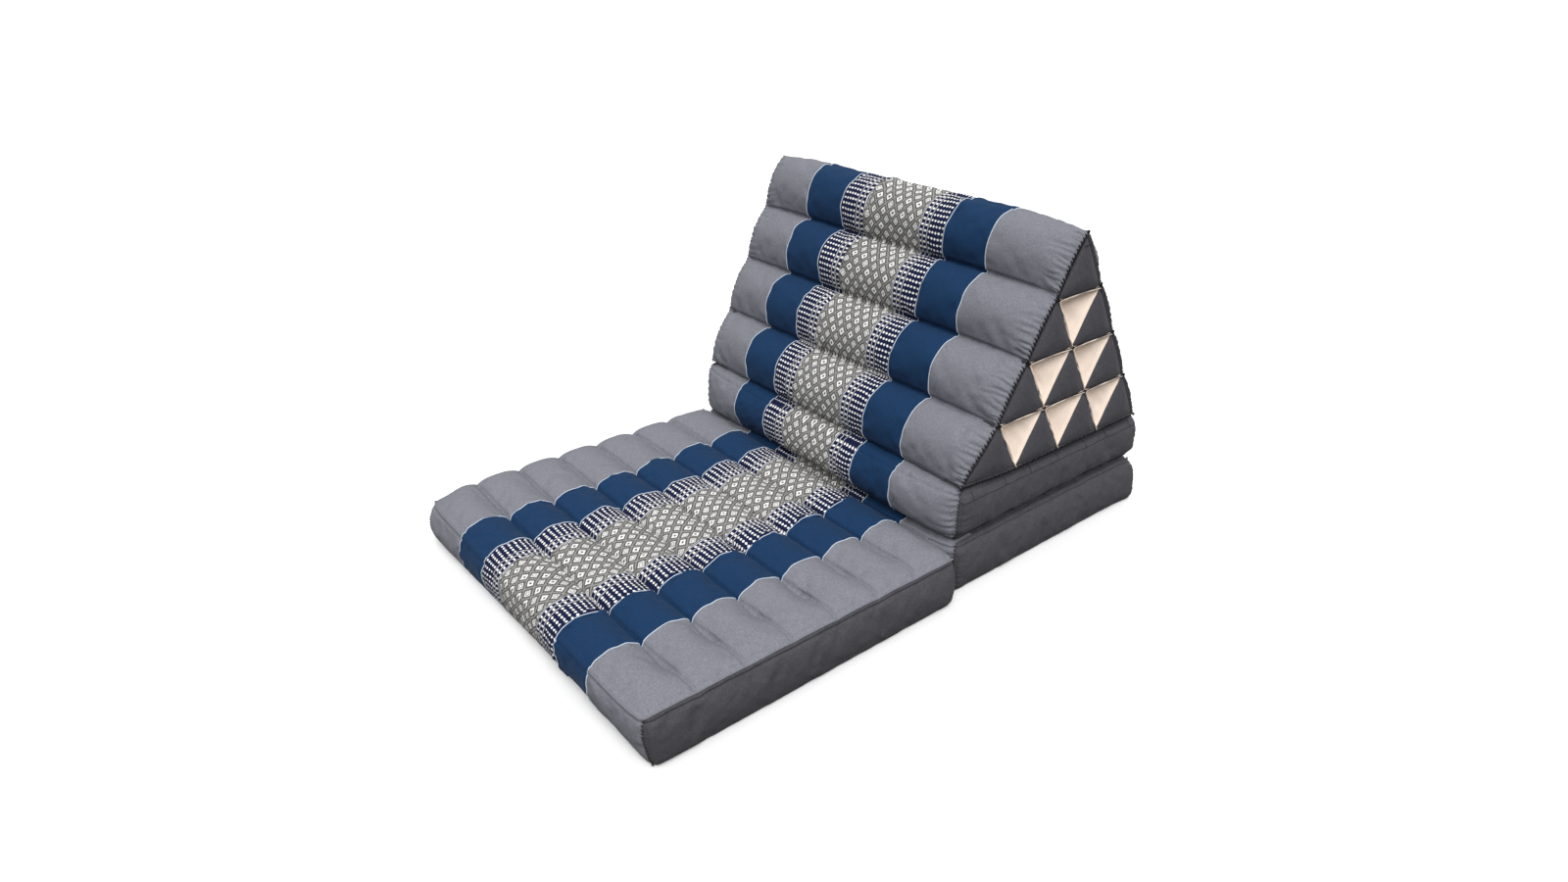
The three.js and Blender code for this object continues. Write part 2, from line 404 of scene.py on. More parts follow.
@dataclass(frozen=True)
class Filling:
    """The kapok that presses a cover out between its seams, as a cloth simulation.

    Attributes:
        pressure: How hard it presses.
        slack: The share of cloth that is sewn in extra, which lets it wrinkle.
        cap: The furthest that a point may move, in millimetres.
        frames: The steps of the simulation.
        uneven: The unevenness from which wrinkles grow, in millimetres.
    """

    pressure: float
    slack: float
    cap: float = 3.0
    frames: int = 20
    uneven: float = 0.25

    def press(self, shell: Shell, seed: int) -> Array:
        """Lets the filling press a cover out.

        Args:
            shell: The coarse cover, with its seams pinned.
            seed: Picks the slight unevenness from which wrinkles grow.

        Returns:
            How far each point moves, in millimetres.
        """
        rng = np.random.default_rng(seed)
        free = (shell.pin < 0.5)[:, None]
        start = shell.points + rng.normal(0, self.uneven, shell.points.shape) * free
        mesh = bpy.data.meshes.new("pressing")
        mesh.from_pydata((start * MM).tolist(), [], shell.faces)
        cover = show("pressing", mesh)
        seams = cover.vertex_groups.new(name="seams")
        for number, hold in enumerate(shell.pin):
            if hold > 0:
                seams.add([number], float(hold), "REPLACE")
        cloth = cover.modifiers.new("filling", "CLOTH")
        settings = cloth.settings
        settings.quality = 6
        settings.mass = 0.3
        settings.tension_stiffness = 25
        settings.compression_stiffness = 12
        settings.shear_stiffness = 8
        settings.bending_stiffness = 0.6
        settings.shrink_min = -self.slack
        settings.use_pressure = True
        settings.uniform_pressure_force = self.pressure
        settings.vertex_group_mass = "seams"
        settings.pin_stiffness = 1
        settings.effector_weights.gravity = 0
        cloth.collision_settings.use_collision = False
        cloth.point_cache.frame_start = 1
        cloth.point_cache.frame_end = self.frames
        for step in range(1, self.frames + 1):
            bpy.context.scene.frame_set(step)
        result = cover.evaluated_get(bpy.context.evaluated_depsgraph_get()).data
        end = np.zeros(len(shell.points) * 3)
        result.vertices.foreach_get("co", end)
        move = end.reshape(-1, 3) / MM - shell.points
        bpy.context.scene.frame_set(1)
        bpy.data.objects.remove(cover)
        bpy.data.meshes.remove(mesh)
        far = np.linalg.norm(move, axis=1, keepdims=True)
        LOG.info("filling moved the cover by up to %.1f mm, mean %.2f mm", far.max(), far.mean())
        return move * np.minimum(1, self.cap / np.maximum(far, 1e-6))


def press_patches(coarse: list[Patch], fine: list[Patch], filling: Filling, seed: int) -> None:
    """Presses a coarse cover out and moves the fine one with it.

    Args:
        coarse: The patches of the simulated cover.
        fine: The same patches with more points, which are changed.
        filling: The filling.
        seed: Picks the wrinkles.
    """
    shell = weld(coarse)
    move = filling.press(shell, seed)
    for rough, smooth, index in zip(coarse, fine, shell.index):
        along = resample(move[index], rough.rows, smooth.rows)
        across = resample(along.transpose(1, 0, 2), rough.columns, smooth.columns)
        smooth.points += across.transpose(1, 0, 2)


class Nodes:
    """The node tree of a material or a world, to which nodes are added one after the other."""

    def __init__(self, owner: bpy.types.Material | bpy.types.World) -> None:
        """Empties the owner's node tree.

        Args:
            owner: The material or the world.
        """
        owner.use_nodes = True
        self.tree = owner.node_tree
        self.tree.nodes.clear()

    def add(self, kind: str, *values: object, out: int | str = 0, **settings: object) -> object:
        """Adds a node with its settings and links.

        Args:
            kind: The node's type, without its "ShaderNode" prefix.
            *values: What each input gets in order: a socket to link, a constant, or None to skip it.
            out: Which output is handed back.
            **settings: The node's properties; one named in_NAME sets or links the input NAME.

        Returns:
            The chosen output socket, or the node where it has none.
        """
        node = self.tree.nodes.new("ShaderNode" + kind)
        inputs = {k: v for k, v in enumerate(values) if v is not None}
        for key, value in settings.items():
            if key.startswith("in_"):
                inputs[key[3:].replace("_", " ")] = value
            else:
                setattr(node, key, value)
        for key, value in inputs.items():
            if isinstance(value, bpy.types.NodeSocket):
                self.tree.links.new(value, node.inputs[key])
            else:
                node.inputs[key].default_value = value
        return node.outputs[out] if node.outputs else node


def set_stops(ramp: object, stops: list[tuple[float, tuple[float, ...]]]) -> object:
    """Gives a colour ramp its colours.

    Args:
        ramp: The ramp's colour output.
        stops: Each stop's position and linear colour.

    Returns:
        The ramp's colour output.
    """
    elements = ramp.node.color_ramp.elements
    elements.remove(elements[1])
    elements[0].position, elements[0].color = stops[0]
    for position, colour in stops[1:]:
        elements.new(position).color = colour
    return ramp


@dataclass(frozen=True)
class Weave:
    """A plain woven cotton: warp and weft threads of uneven thickness and shade.

    Attributes:
        name: The material's name.
        colour: The thread colour, as sRGB hex.
        dark: The colour of the darkest threads.
        light: The colour of the lightest threads.
        mottle: How much the shade varies, from 0 to 1.
        roughness: The surface roughness.
        sheen: The weight of the soft light that loose fibres scatter.
        thread: The distance between threads in millimetres. The real ones lie about 0.45 mm
            apart, too fine to show, so they are drawn about twice as coarse.
        relief: The height of the threads, in millimetres.
    """

    name: str
    colour: str
    dark: str
    light: str
    mottle: float = 0.5
    roughness: float = 0.9
    sheen: float = 0.03
    thread: float = 0.95
    relief: float = 0.12

    def base(self, n: Nodes, place: object) -> object:
        """Makes the cloth's own colour: long streaks of warp and weft, and heathering.

        Args:
            n: The material's nodes.
            place: The place on the flat cloth.

        Returns:
            A colour output.
        """
        streaks = []
        for stretch in ((0.16, 0.85, 1), (0.85, 0.16, 1)):
            turned = n.add("Mapping", place, None, None, stretch)
            streaks.append(n.add("TexNoise", turned, in_Scale=1.0, in_Detail=2.0, noise_dimensions="2D"))
        heather = n.add("TexNoise", place, in_Scale=0.5, in_Detail=5.0, in_Roughness=0.75,
                        noise_dimensions="2D")
        threads = n.add("Math", *streaks, operation="ADD")
        mixed = n.add("Math", heather, 2.0, threads, operation="MULTIPLY_ADD")
        spread = 1.25 - 0.7 * self.mottle
        shade = n.add("MapRange", mixed, 2.0 - spread, 2.0 + spread, 0.0, 1.0)
        stops = [(0.0, srgb(self.dark)), (0.5, srgb(self.colour)), (1.0, srgb(self.light))]
        return set_stops(n.add("ValToRGB", shade), stops)

    def unsteady(self, n: Nodes, place: object, scale: float, detail: float, by: float) -> object:
        """Moves the threads a little to and fro, as on a hand loom.

        Args:
            n: The material's nodes.
            place: The place on the flat cloth.
            scale: The scale of the unevenness.
            detail: Its detail.
            by: Its size in millimetres.

        Returns:
            The moved place's x. Its y is the next output of the same node.
        """
        noise = n.add("TexNoise", place, in_Scale=scale, in_Detail=detail, noise_dimensions="2D", out=1)
        centred = n.add("VectorMath", noise, (0.5, 0.5, 0.5), operation="SUBTRACT")
        moved = n.add("VectorMath", centred, (by, by, 0.0), place, operation="MULTIPLY_ADD")
        return n.add("SeparateXYZ", moved)

    def far(self, n: Nodes, value: object, centre: float) -> object:
        """Gives the distance of a value from a centre."""
        return n.add("Math", n.add("Math", value, centre, operation="SUBTRACT"), operation="ABSOLUTE")

    def height(self, n: Nodes, place: object) -> object:
        """Makes the height of the weave: threads that pass over and under each other.

        Args:
            n: The material's nodes.
            place: The place on the flat cloth.

        Returns:
            A value output, from -1 to 1.
        """
        x = self.unsteady(n, place, 0.25, 1.0, 0.9)
        waves = []
        for thread in (x, x.node.outputs[1]):
            turn = n.add("Math", thread, math.pi / self.thread, operation="MULTIPLY")
            waves.append(n.add("Math", turn, operation="SINE"))
        return n.add("Math", *waves, operation="MULTIPLY")

    def make(self) -> bpy.types.Material:
        """Builds the material.

        Returns:
            The material.
        """
        material = bpy.data.materials.new(self.name)
        n = Nodes(material)
        place = n.add("UVMap", uv_map="cloth")
        colour = self.base(n, place)
        fuzz = n.add("TexNoise", place, in_Scale=0.16, in_Detail=5.0, in_Roughness=0.6,
                     noise_dimensions="2D")
        relief = n.add("Math", fuzz, 4.0, self.height(n, place), operation="MULTIPLY_ADD")
        bump = n.add("Bump", in_Strength=0.55, in_Distance=self.relief * MM, in_Height=relief)
        rough = n.add("MapRange", fuzz, 0.2, 0.8, self.roughness - 0.05, self.roughness + 0.05)
        surface = n.add("BsdfPrincipled", in_Base_Color=colour, in_Roughness=rough,
                        in_IOR=1.45, in_Specular_IOR_Level=0.15, in_Sheen_Weight=self.sheen,
                        in_Sheen_Roughness=0.5, in_Normal=bump)
        n.add("OutputMaterial", surface)
        return material


@dataclass(frozen=True)
class BeadWeave(Weave):
    """Navy cotton with white supplementary weft: rows of beads, single beads and thin lines.

    Attributes:
        outer: Distance from the bands' middle to the blue cloth.
        first: Where the bead rows begin, inwards from the blue cloth.
        row: Distance between bead rows.
        beads: The number of beads in a row.
        bead: Distance between beads in a row.
        half_bead: Half of a bead's height.
        singles: Where the two columns of single beads lie, inwards from the end of the rows.
        lines: Where the thin white lines along the band lie, and half of each one's width.
        white: The colour of the white weft.
    """

    outer: float = 92.0
    first: float = 1.6
    row: float = 7.4
    beads: int = 5
    bead: float = 5.0
    half_bead: float = 1.6
    singles: tuple[float, float] = (4.6, 11.4)
    lines: tuple[tuple[float, float], ...] = ((1.2, 0.45), (8.0, 0.45), (15.0, 0.5), (16.9, 0.4))
    white: str = "f1f0ee"

    def base(self, n: Nodes, place: object) -> object:
        """Charts the beads and lines over the navy ground.

        Args:
            n: The material's nodes.
            place: The place on the flat cloth.

        Returns:
            A colour output.
        """
        ground = super().base(n, place)
        x = self.unsteady(n, place, 0.22, 2.0, 0.9)
        inward = n.add("Math", self.outer, n.add("Math", x, operation="ABSOLUTE"), operation="SUBTRACT")
        in_row = n.add("Math", x.node.outputs[1], self.row, operation="FLOORED_MODULO")
        row_far = self.far(n, in_row, self.row / 2)
        from_first = n.add("Math", inward, self.first, operation="SUBTRACT")
        in_bead = n.add("Math", from_first, self.bead, operation="FLOORED_MODULO")
        bead_far = self.far(n, in_bead, self.bead / 2)
        half = n.add("MapRange", bead_far, 0.6, 1.9, self.half_bead, 0.0)
        inside = n.add("Math", half, row_far, operation="SUBTRACT")
        bead = n.add("MapRange", inside, -0.25, 0.3, 0.0, 1.0)
        last = self.first + self.beads * self.bead
        begun = n.add("Math", inward, self.first, operation="GREATER_THAN")
        going = n.add("Math", inward, last, operation="LESS_THAN")
        zone = n.add("Math", begun, going, operation="MULTIPLY")
        mask = n.add("Math", bead, zone, operation="MULTIPLY")
        tall = n.add("MapRange", row_far, 1.0, 1.6, 1.0, 0.0)
        for centre in self.singles:
            wide = n.add("MapRange", self.far(n, inward, last + centre), 1.6, 2.3, 1.0, 0.0)
            single = n.add("Math", wide, tall, operation="MULTIPLY")
            mask = n.add("Math", mask, single, operation="MAXIMUM")
        for centre, width in self.lines:
            away = self.far(n, inward, last + centre)
            line = n.add("MapRange", away, width - 0.2, width + 0.2, 0.75, 0.0)
            mask = n.add("Math", mask, line, operation="MAXIMUM")
        return n.add("Mix", mask, None, None, None, None, None, ground, srgb(self.white),
                     data_type="RGBA", out=2)


@dataclass(frozen=True)
class DiamondWeave(Weave):
    """Grey cotton with a traditional woven lattice of small diamonds, each with a dot or a ring.

    Attributes:
        across: The width of a diamond in the lattice.
        along: Its length.
        white: The colour inside a diamond.
        line: The colour of the lattice.
        between: The colour of the ground between the diamonds.
        pale: The colour of the thin line in the middle of that ground.
        printed: How strongly the threads' own shade shows through.
    """

    across: float = 17.0
    along: float = 20.0
    white: str = "f2f1ee"
    line: str = "444446"
    between: str = "6f6e6c"
    pale: str = "a6a5a1"
    printed: float = 0.85

    def base(self, n: Nodes, place: object) -> object:
        """Charts the lattice, its diamonds and their dots and rings.

        Args:
            n: The material's nodes.
            place: The place on the flat cloth.

        Returns:
            A colour output.
        """
        threads = super().base(n, place)
        x = self.unsteady(n, place, 0.13, 2.0, 1.9)
        over = n.add("Math", x, 1 / self.across, operation="MULTIPLY")
        up = n.add("Math", x.node.outputs[1], 1 / self.along, operation="MULTIPLY")
        far, cells = [], []
        for operation in ("ADD", "SUBTRACT"):
            slanted = n.add("Math", over, up, operation=operation)
            cells.append(n.add("Math", slanted, operation="ROUND"))
            far.append(self.far(n, slanted, cells[-1]))
        nearest = n.add("Math", *far, operation="MAXIMUM")
        reach = n.add("Math", nearest, 2.0, operation="MULTIPLY")
        row = n.add("Math", *cells, operation="SUBTRACT")
        is_ring = n.add("Math", row, 2.0, operation="FLOORED_MODULO")
        dot = n.add("MapRange", reach, 0.15, 0.25, 1.0, 0.0)
        ring = n.add("MapRange", self.far(n, reach, 0.30), 0.04, 0.10, 0.7, 0.10)
        middle = n.add("Mix", is_ring, None, dot, ring, data_type="FLOAT")
        stops = ((0.0, self.white), (0.53, self.white), (0.60, self.line), (0.68, self.line),
                 (0.76, self.between), (0.88, self.between), (0.96, self.pale))
        lattice = set_stops(n.add("ValToRGB", reach), [(at, srgb(code)) for at, code in stops])
        drawn = n.add("Mix", middle, None, None, None, None, None, lattice, srgb(self.line),
                      data_type="RGBA", out=2)
        return n.add("Mix", self.printed, None, None, None, None, None, drawn, threads,
                     data_type="RGBA", blend_type="MULTIPLY", out=2)


@dataclass(frozen=True)
class Finishes:
    """Every cloth and thread of the cushion."""

    # Piece-dyed grey cotton: matt, faintly heathered.
    grey: Weave = Weave("grey_cotton", "7a7b83", "676870", "8e8f96")
    # Piece-dyed blue cotton: matt, deeper and more even than the grey.
    blue: Weave = Weave("blue_cotton", "163456", "122c4a", "1c3e64", mottle=0.35)
    # Charcoal cotton of the borders and the back: matt and nearly black in its folds.
    charcoal: Weave = Weave("charcoal_cotton", "4c4b50", "3f3e43", "5b5a60")
    # Undyed cotton, as it comes from the loom: warm, pale, softly creased.
    natural: Weave = Weave("undyed_cotton", "f3e2d3", "ead5c3", "faeee2", mottle=0.25, sheen=0.2)
    # Navy ground with white beads woven in: crisp white on near black.
    beads: BeadWeave = BeadWeave("bead_weave_cotton", "111a3a", "0c1330", "1a2648", mottle=0.3)
    # Grey and white diamond weave: busy, a little raised.
    diamonds: DiamondWeave = DiamondWeave("diamond_weave_cotton", "f0f0f0", "cfcfcf", "ffffff",
                                          mottle=0.6, relief=0.18)
    # Thin pale cotton piping between the bands.
    piping: Weave = Weave("piping_cotton", "c3cdda", "aab6c6", "dbe3ec", mottle=0.3, relief=0.05)
    # Waxed black thread: a slight gleam on a near black round.
    thread: Weave = Weave("waxed_black_thread", "16161a", "0e0e11", "222228", roughness=0.6, sheen=0.0,
                          relief=0.04)

    def cover(self) -> list[bpy.types.Material]:
        """Makes the materials of a banded cover, in the order of Cloth.

        Returns:
            The materials.
        """
        return [w.make() for w in (self.grey, self.blue, self.beads, self.diamonds, self.charcoal)]


@dataclass
class Workshop:
    """Attributes:
        place: Where the maker's frame stands.
        cover: The materials of a banded cover.
        natural: The undyed cotton.
        piping: The piping's cotton.
        thread: The black thread.
    """

    place: Place
    cover: list[bpy.types.Material]
    natural: bpy.types.Material
    piping: bpy.types.Material
    thread: bpy.types.Material

    def piece(self, name: str, shell: Shell, points: Array, materials: list[bpy.types.Material],
              slot: str) -> bpy.types.Object:
        """Makes a piece from a shell and lets it ride.

        Args:
            name: The piece's name.
            shell: Its faces, cloth places and finishes.
            points: Where its points lie, in millimetres.
            materials: Its materials.
            slot: The record's material slot. It is not used.

        Returns:
            The piece.
        """
        mesh = bpy.data.meshes.new(name)
        mesh.from_pydata(self.place.metres(points).tolist(), [], shell.faces)
        for material in materials:
            mesh.materials.append(material)
        mesh.polygons.foreach_set("material_index", shell.finish.astype(np.int32))
        mesh.polygons.foreach_set("use_smooth", np.ones(len(shell.faces), bool))
        places = mesh.uv_layers.new(name="cloth")
        places.uv.foreach_set("vector", shell.cloth.astype(np.float32).ravel())
        mesh.update()
        made = show(name, mesh)
        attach(made, BODY)
        LOG.info("%s: %d faces", name, len(shell.faces))
        return made

    def strands(self, name: str, tubes: list[tuple[Array, float]], material: bpy.types.Material,
                slot: str, sides: int = 6) -> bpy.types.Object:
        """Makes one piece of many thin tubes.

        Args:
            name: The piece's name.
            tubes: Each tube's path in millimetres and its radius.
            material: The material.
            slot: The record's material slot.
            sides: The number of sides of a tube.

        Returns:
            The piece.
        """
        points, faces, cloth, start = [], [], [], 0
        for path, radius in tubes:
            rings, around = tube(path, radius, sides)
            points.append(rings.reshape(-1, 3))
            count = len(rings)
            for i in range(count - 1):
                a, b = start + i * sides, start + (i + 1) * sides
                low, high = around[i], around[i + 1]
                for k in range(sides):
                    m = (k + 1) % sides
                    faces.append((a + k, a + m, b + m, b + k))
                    cloth.extend([(k, low), (k + 1, low), (k + 1, high), (k, high)])
            for end, order in ((0, range(sides - 1, -1, -1)), (count - 1, range(sides))):
                faces.append(tuple(start + end * sides + k for k in order))
                cloth.extend([(k, around[end]) for k in order])
            start += count * sides
        shell = Shell(np.concatenate(points), faces, np.array(cloth), np.zeros(len(faces)),
                      np.zeros(0), np.zeros(0), [])
        return self.piece(name, shell, shell.points, [material], slot)


def tube(path: Array, radius: float, sides: int) -> tuple[Array, Array]:
    """Runs a ring of points along a path.

    Args:
        path: The path's points.
        radius: The tube's radius.
        sides: The points of each ring.

    Returns:
        The rings, and the distance along the path of each.
    """
    path = np.asarray(path, float)
    ahead = np.gradient(path, axis=0)
    ahead /= np.maximum(np.linalg.norm(ahead, axis=1, keepdims=True), 1e-9)
    normal = np.cross(ahead[0], (0.31, 0.17, 0.93))
    rings = []
    turns = np.arange(sides) * 2 * math.pi / sides
    for point, way in zip(path, ahead):
        normal = normal - way * np.dot(normal, way)
        normal /= max(np.linalg.norm(normal), 1e-9)
        other = np.cross(way, normal)
        ring = np.outer(np.cos(turns), normal) + np.outer(np.sin(turns), other)
        rings.append(point + radius * ring)
    return np.array(rings), travelled(path)


@dataclass(frozen=True)
class Bands:
    """Where a cover's bands change: half widths from their middle line, in millimetres."""

    middle: float
    diamonds: float = 48.5
    dotted: float = 92.0
    blue: float = 161.0

    def borders(self) -> list[float]:
        """Lists the x of every border between two bands, from left to right."""
        halves = (self.diamonds, self.dotted, self.blue)
        return sorted(self.middle + s * h for s in (-1, 1) for h in halves)

    def piped(self) -> list[float]:
        """Lists the x of the borders that have piping."""
        return sorted(self.middle + s * h for s in (-1, 1) for h in (self.dotted, self.blue))

    def columns(self, left: float, right: float, fine: float, coarse: float, reach: float) -> Array:
        """Spaces columns from seam to seam with one on each border.

        Args:
            left: The left seam's x.
            right: The right seam's x.
            fine: The spacing at the side seams.
            coarse: The spacing elsewhere.
            reach: How far from a side seam the spacing grows.

        Returns:
            The x of each column.
        """
        stops = [left, *self.borders(), right]
        whole = graded(right - left, fine, coarse, reach) + left
        pieces = []
        for a, b in zip(stops, stops[1:]):
            inside = whole[(whole > a) & (whole < b)]
            steps = max(1, len(inside))
            spread = np.interp(np.linspace(0, 1, steps + 2), np.linspace(0, 1, len(inside) + 2),
                               [a, *inside, b])
            pieces.append(spread[:-1])
        return np.concatenate([*pieces, [right]])

    def finish(self, columns: Array) -> Array:
        """Names the cloth between each two columns.

        Args:
            columns: The x of each column.

        Returns:
            The material numbers.
        """
        far = np.abs((columns[1:] + columns[:-1]) / 2 - self.middle)
        kinds = np.full(len(far), Cloth.GREY.value)
        kinds[far < self.blue] = Cloth.BLUE.value
        kinds[far < self.dotted] = Cloth.DOTTED.value
        kinds[far < self.diamonds] = Cloth.DIAMONDS.value
        return kinds

    def softness(self, x: Array) -> Array:
        """Says how deep a sewn groove lies at x, as a share.

        Args:
            x: Places across.

        Returns:
            1 in the blue and dotted bands and less in the diamonds. In the grey bands the grooves run
            out towards the seams, on the right far more than on the left.
        """
        far = np.abs(x - self.middle)
        inner = 1 - 0.28 * (1 - ease(self.diamonds - 34, self.diamonds - 4, far))
        flat = np.where(x > self.middle, 0.66, 0.24) * ease(self.blue + 20, self.blue + 84, far)
        outer = 1 - 0.06 * ease(self.blue, self.blue + 24, far) - flat
        return np.where(far < self.diamonds, inner, outer)


# How the pads are sewn, in millimetres and as in the part's source: how far the underside's flat lies
# inside a lower seam, the share of the half width that lies flat, how sharply the swelling ends there,
# how far an end face still bellies out at its corners, how soon a side border reaches its full belly,
# and the share of its height at which that is.
UNDER_INSET = 7.0
FLAT_SHARE = 0.86
PAD_POWER = 7
CORNER_BELLY = 4.0
BORDER_ROUND = 12.0
BELLY_HEIGHT = 0.42
# The cover is turned under more tightly than the part's solids: how high its lower seams stand.
SEAM_LIFT = 1.2
# How steeply an end face and a side border swell out beside their seams. The end faces stand a
# little more upright than the part's.
FACE_ROUND, SIDE_ROUND = 2.1, 2.5
# How sharply the crown of a channel ends at the side seams.
CROWN_POWER = 12
# The stacked pads' upper panels are charcoal along their side edges, which makes the gaps between the pads
# look dark: the strip's width, and where it begins behind the front.
EDGE_WIDTH, EDGE_START = 22.0, 34.0
# The spacing of points at a seam, of the rows up a face, and over a pad's simulated copy.
SEAM_STEP, UPRIGHT_STEP, ROUGH_STEP = 1.15, 2.2, 8.5
# A sewn crease and a seam: the depth or height, and half of the width. Beside a seam, the cloth is
# drawn in between this far from it.
PAD_CREASE, CREASE_WIDTH = 2.2, 1.6
RIDGE, RIDGE_WIDTH = 0.9, 1.6
DRAWN, DRAWN_WIDTH, DRAWN_FROM = 1.5, 1.9, 3.4
# Threads: a row of stitches sunk in the cloth, drawn as one unbroken black line that under a welt is also
# painted shadow, a tie over an edge, and how far they stand out.
ROW_THREAD, TIE_THREAD, THREAD_OUT = 0.3, 0.34, 0.05
# Piping and welt: their radius, and how far their middle stands out of the cloth.
PIPING, PIPING_OUT = 0.62, 0.25
WELT, WELT_OUT = 1.0, 0.35
# A topstitched row that lies deeper than this below its seam is tied over the edge.
TIED_BELOW = 5.0
# The bands of the seat and lower pads, and those of the upper pad and bolster, a little further left.
LOW_BANDS, HIGH_BANDS = Bands(5.0), Bands(-9.0)


@dataclass(frozen=True)
class Sag:
    """A soft corner that gives way: where, how far round it, and by how much, in millimetres."""

    place: tuple[float, float, float]
    reach: tuple[float, float, float]
    move: tuple[float, float, float]

    def shift(self, points: Array) -> Array:
        """Moves points by their nearness to the place.

        Args:
            points: Any points, in millimetres.

        Returns:
            The moved points.
        """
        away = (points - np.array(self.place)) / np.array(self.reach)
        return points + np.exp(-(away**2).sum(-1))[..., None] * np.array(self.move)


@dataclass(frozen=True)
class Whip:
    """A row of whip stitches over a seam.

    Attributes:
        pitch: The distance between stitches, in millimetres.
        reach: How far a stitch reaches to each side of the seam.
        radius: The thread's radius.
    """

    pitch: float
    reach: float
    radius: float


@dataclass
class Cover:
    """A filled cover.

    Attributes:
        name: The CAD node that it stands for.
        centre_x: The middle's x.
        width: From side seam to side seam.
        bands: The bands of the cover.
        seed: Picks the wrinkles.
        patches: Its panels.
        shell: The panels sewn together.
        normals: The sewn points' normals.
        points: Where the sewn points lie in the end.
    """

    name: str
    centre_x: float
    width: float
    bands: Bands
    seed: int
    patches: list[Patch] = field(default_factory=list, init=False)
    shell: Shell | None = field(default=None, init=False)
    normals: Array | None = field(default=None, init=False)
    points: Array | None = field(default=None, init=False)

    def share(self, x: Array) -> Array:
        """Gives x as a share of the half width, from -1 to 1."""
        return (x - self.centre_x) / (self.width / 2)

    def close(self) -> None:
        """Sews the panels together and raises the cloth by its lift."""
        self.shell = weld(self.patches)
        self.normals = self.shell.normals()
        self.points = self.shell.points + self.normals * self.shell.lift[:, None]

    def sew(self, shop: Workshop, padding: float) -> bpy.types.Object:
        """Makes the cover in place of its node.

        Args:
            shop: Makes the pieces.
            padding: How full it is, from 0 where it is slack to 1 where it is tight. It is not used.

        Returns:
            The cover.
        """
        cover = shop.piece(self.name + "_cover", self.shell, self.points, shop.cover, "patterned_cover")
        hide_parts(self.name)
        return cover

    def lay(self, path: Array, out: float) -> Array:
        """Lays a line over numbered points, standing out of the cloth by a distance."""
        return self.points[path] + out * self.normals[path]

    def pipe(self, shop: Workshop) -> bpy.types.Object:
        """Sews the piping between the bands.

        Args:
            shop: Makes the pieces.

        Returns:
            The piping.
        """
        tubes = []
        for x in self.bands.piped():
            column = int(np.argmin(np.abs(self.patches[0].columns - x)))
            tubes.append((self.lay(self.piped(column), PIPING_OUT), PIPING))
        return shop.strands(self.name + "_piping", tubes, shop.piping, "piping_cotton")

    def whipped(self, seam: Array, beside: tuple[Array, Array], whip: Whip,
                rng: np.random.Generator) -> list[tuple[Array, float]]:
        """Lays slanted stitches over a seam.

        Args:
            seam: The numbers of the points along the seam.
            beside: The numbers of the points beside it, on either side.
            whip: The stitches' sizes.
            rng: Draws their unevenness.

        Returns:
            Each stitch's path and radius.
        """
        line = self.points[seam]
        run = travelled(line)
        ways = []
        for other in beside:
            way = self.points[other] - line
            ways.append(way / np.maximum(np.linalg.norm(way, axis=1, keepdims=True), 1e-6))

        def at(values: Array, place: float) -> Array:
            """Reads values at a place along the seam."""
            return np.array([np.interp(np.clip(place, 0, run[-1]), run, column) for column in values.T])

        tubes = []
        for number in range(int(run[-1] / whip.pitch)):
            place = (number + 0.5 + rng.uniform(-0.12, 0.12)) * whip.pitch
            slant = whip.pitch * rng.uniform(0.2, 0.34)
            reach = whip.reach * rng.uniform(0.85, 1.2)
            out = at(self.normals[seam], place)
            first = at(line, place + slant) + at(ways[0], place + slant) * reach
            last = at(line, place - slant) + at(ways[1], place - slant) * reach
            top = at(line, place) + out * (whip.radius + 0.5)
            lift = out * whip.radius * 0.6
            bent = [first, (first + top) / 2 + lift, top, (last + top) / 2 + lift, last]
            tubes.append((np.array(bent), whip.radius))
        return tubes


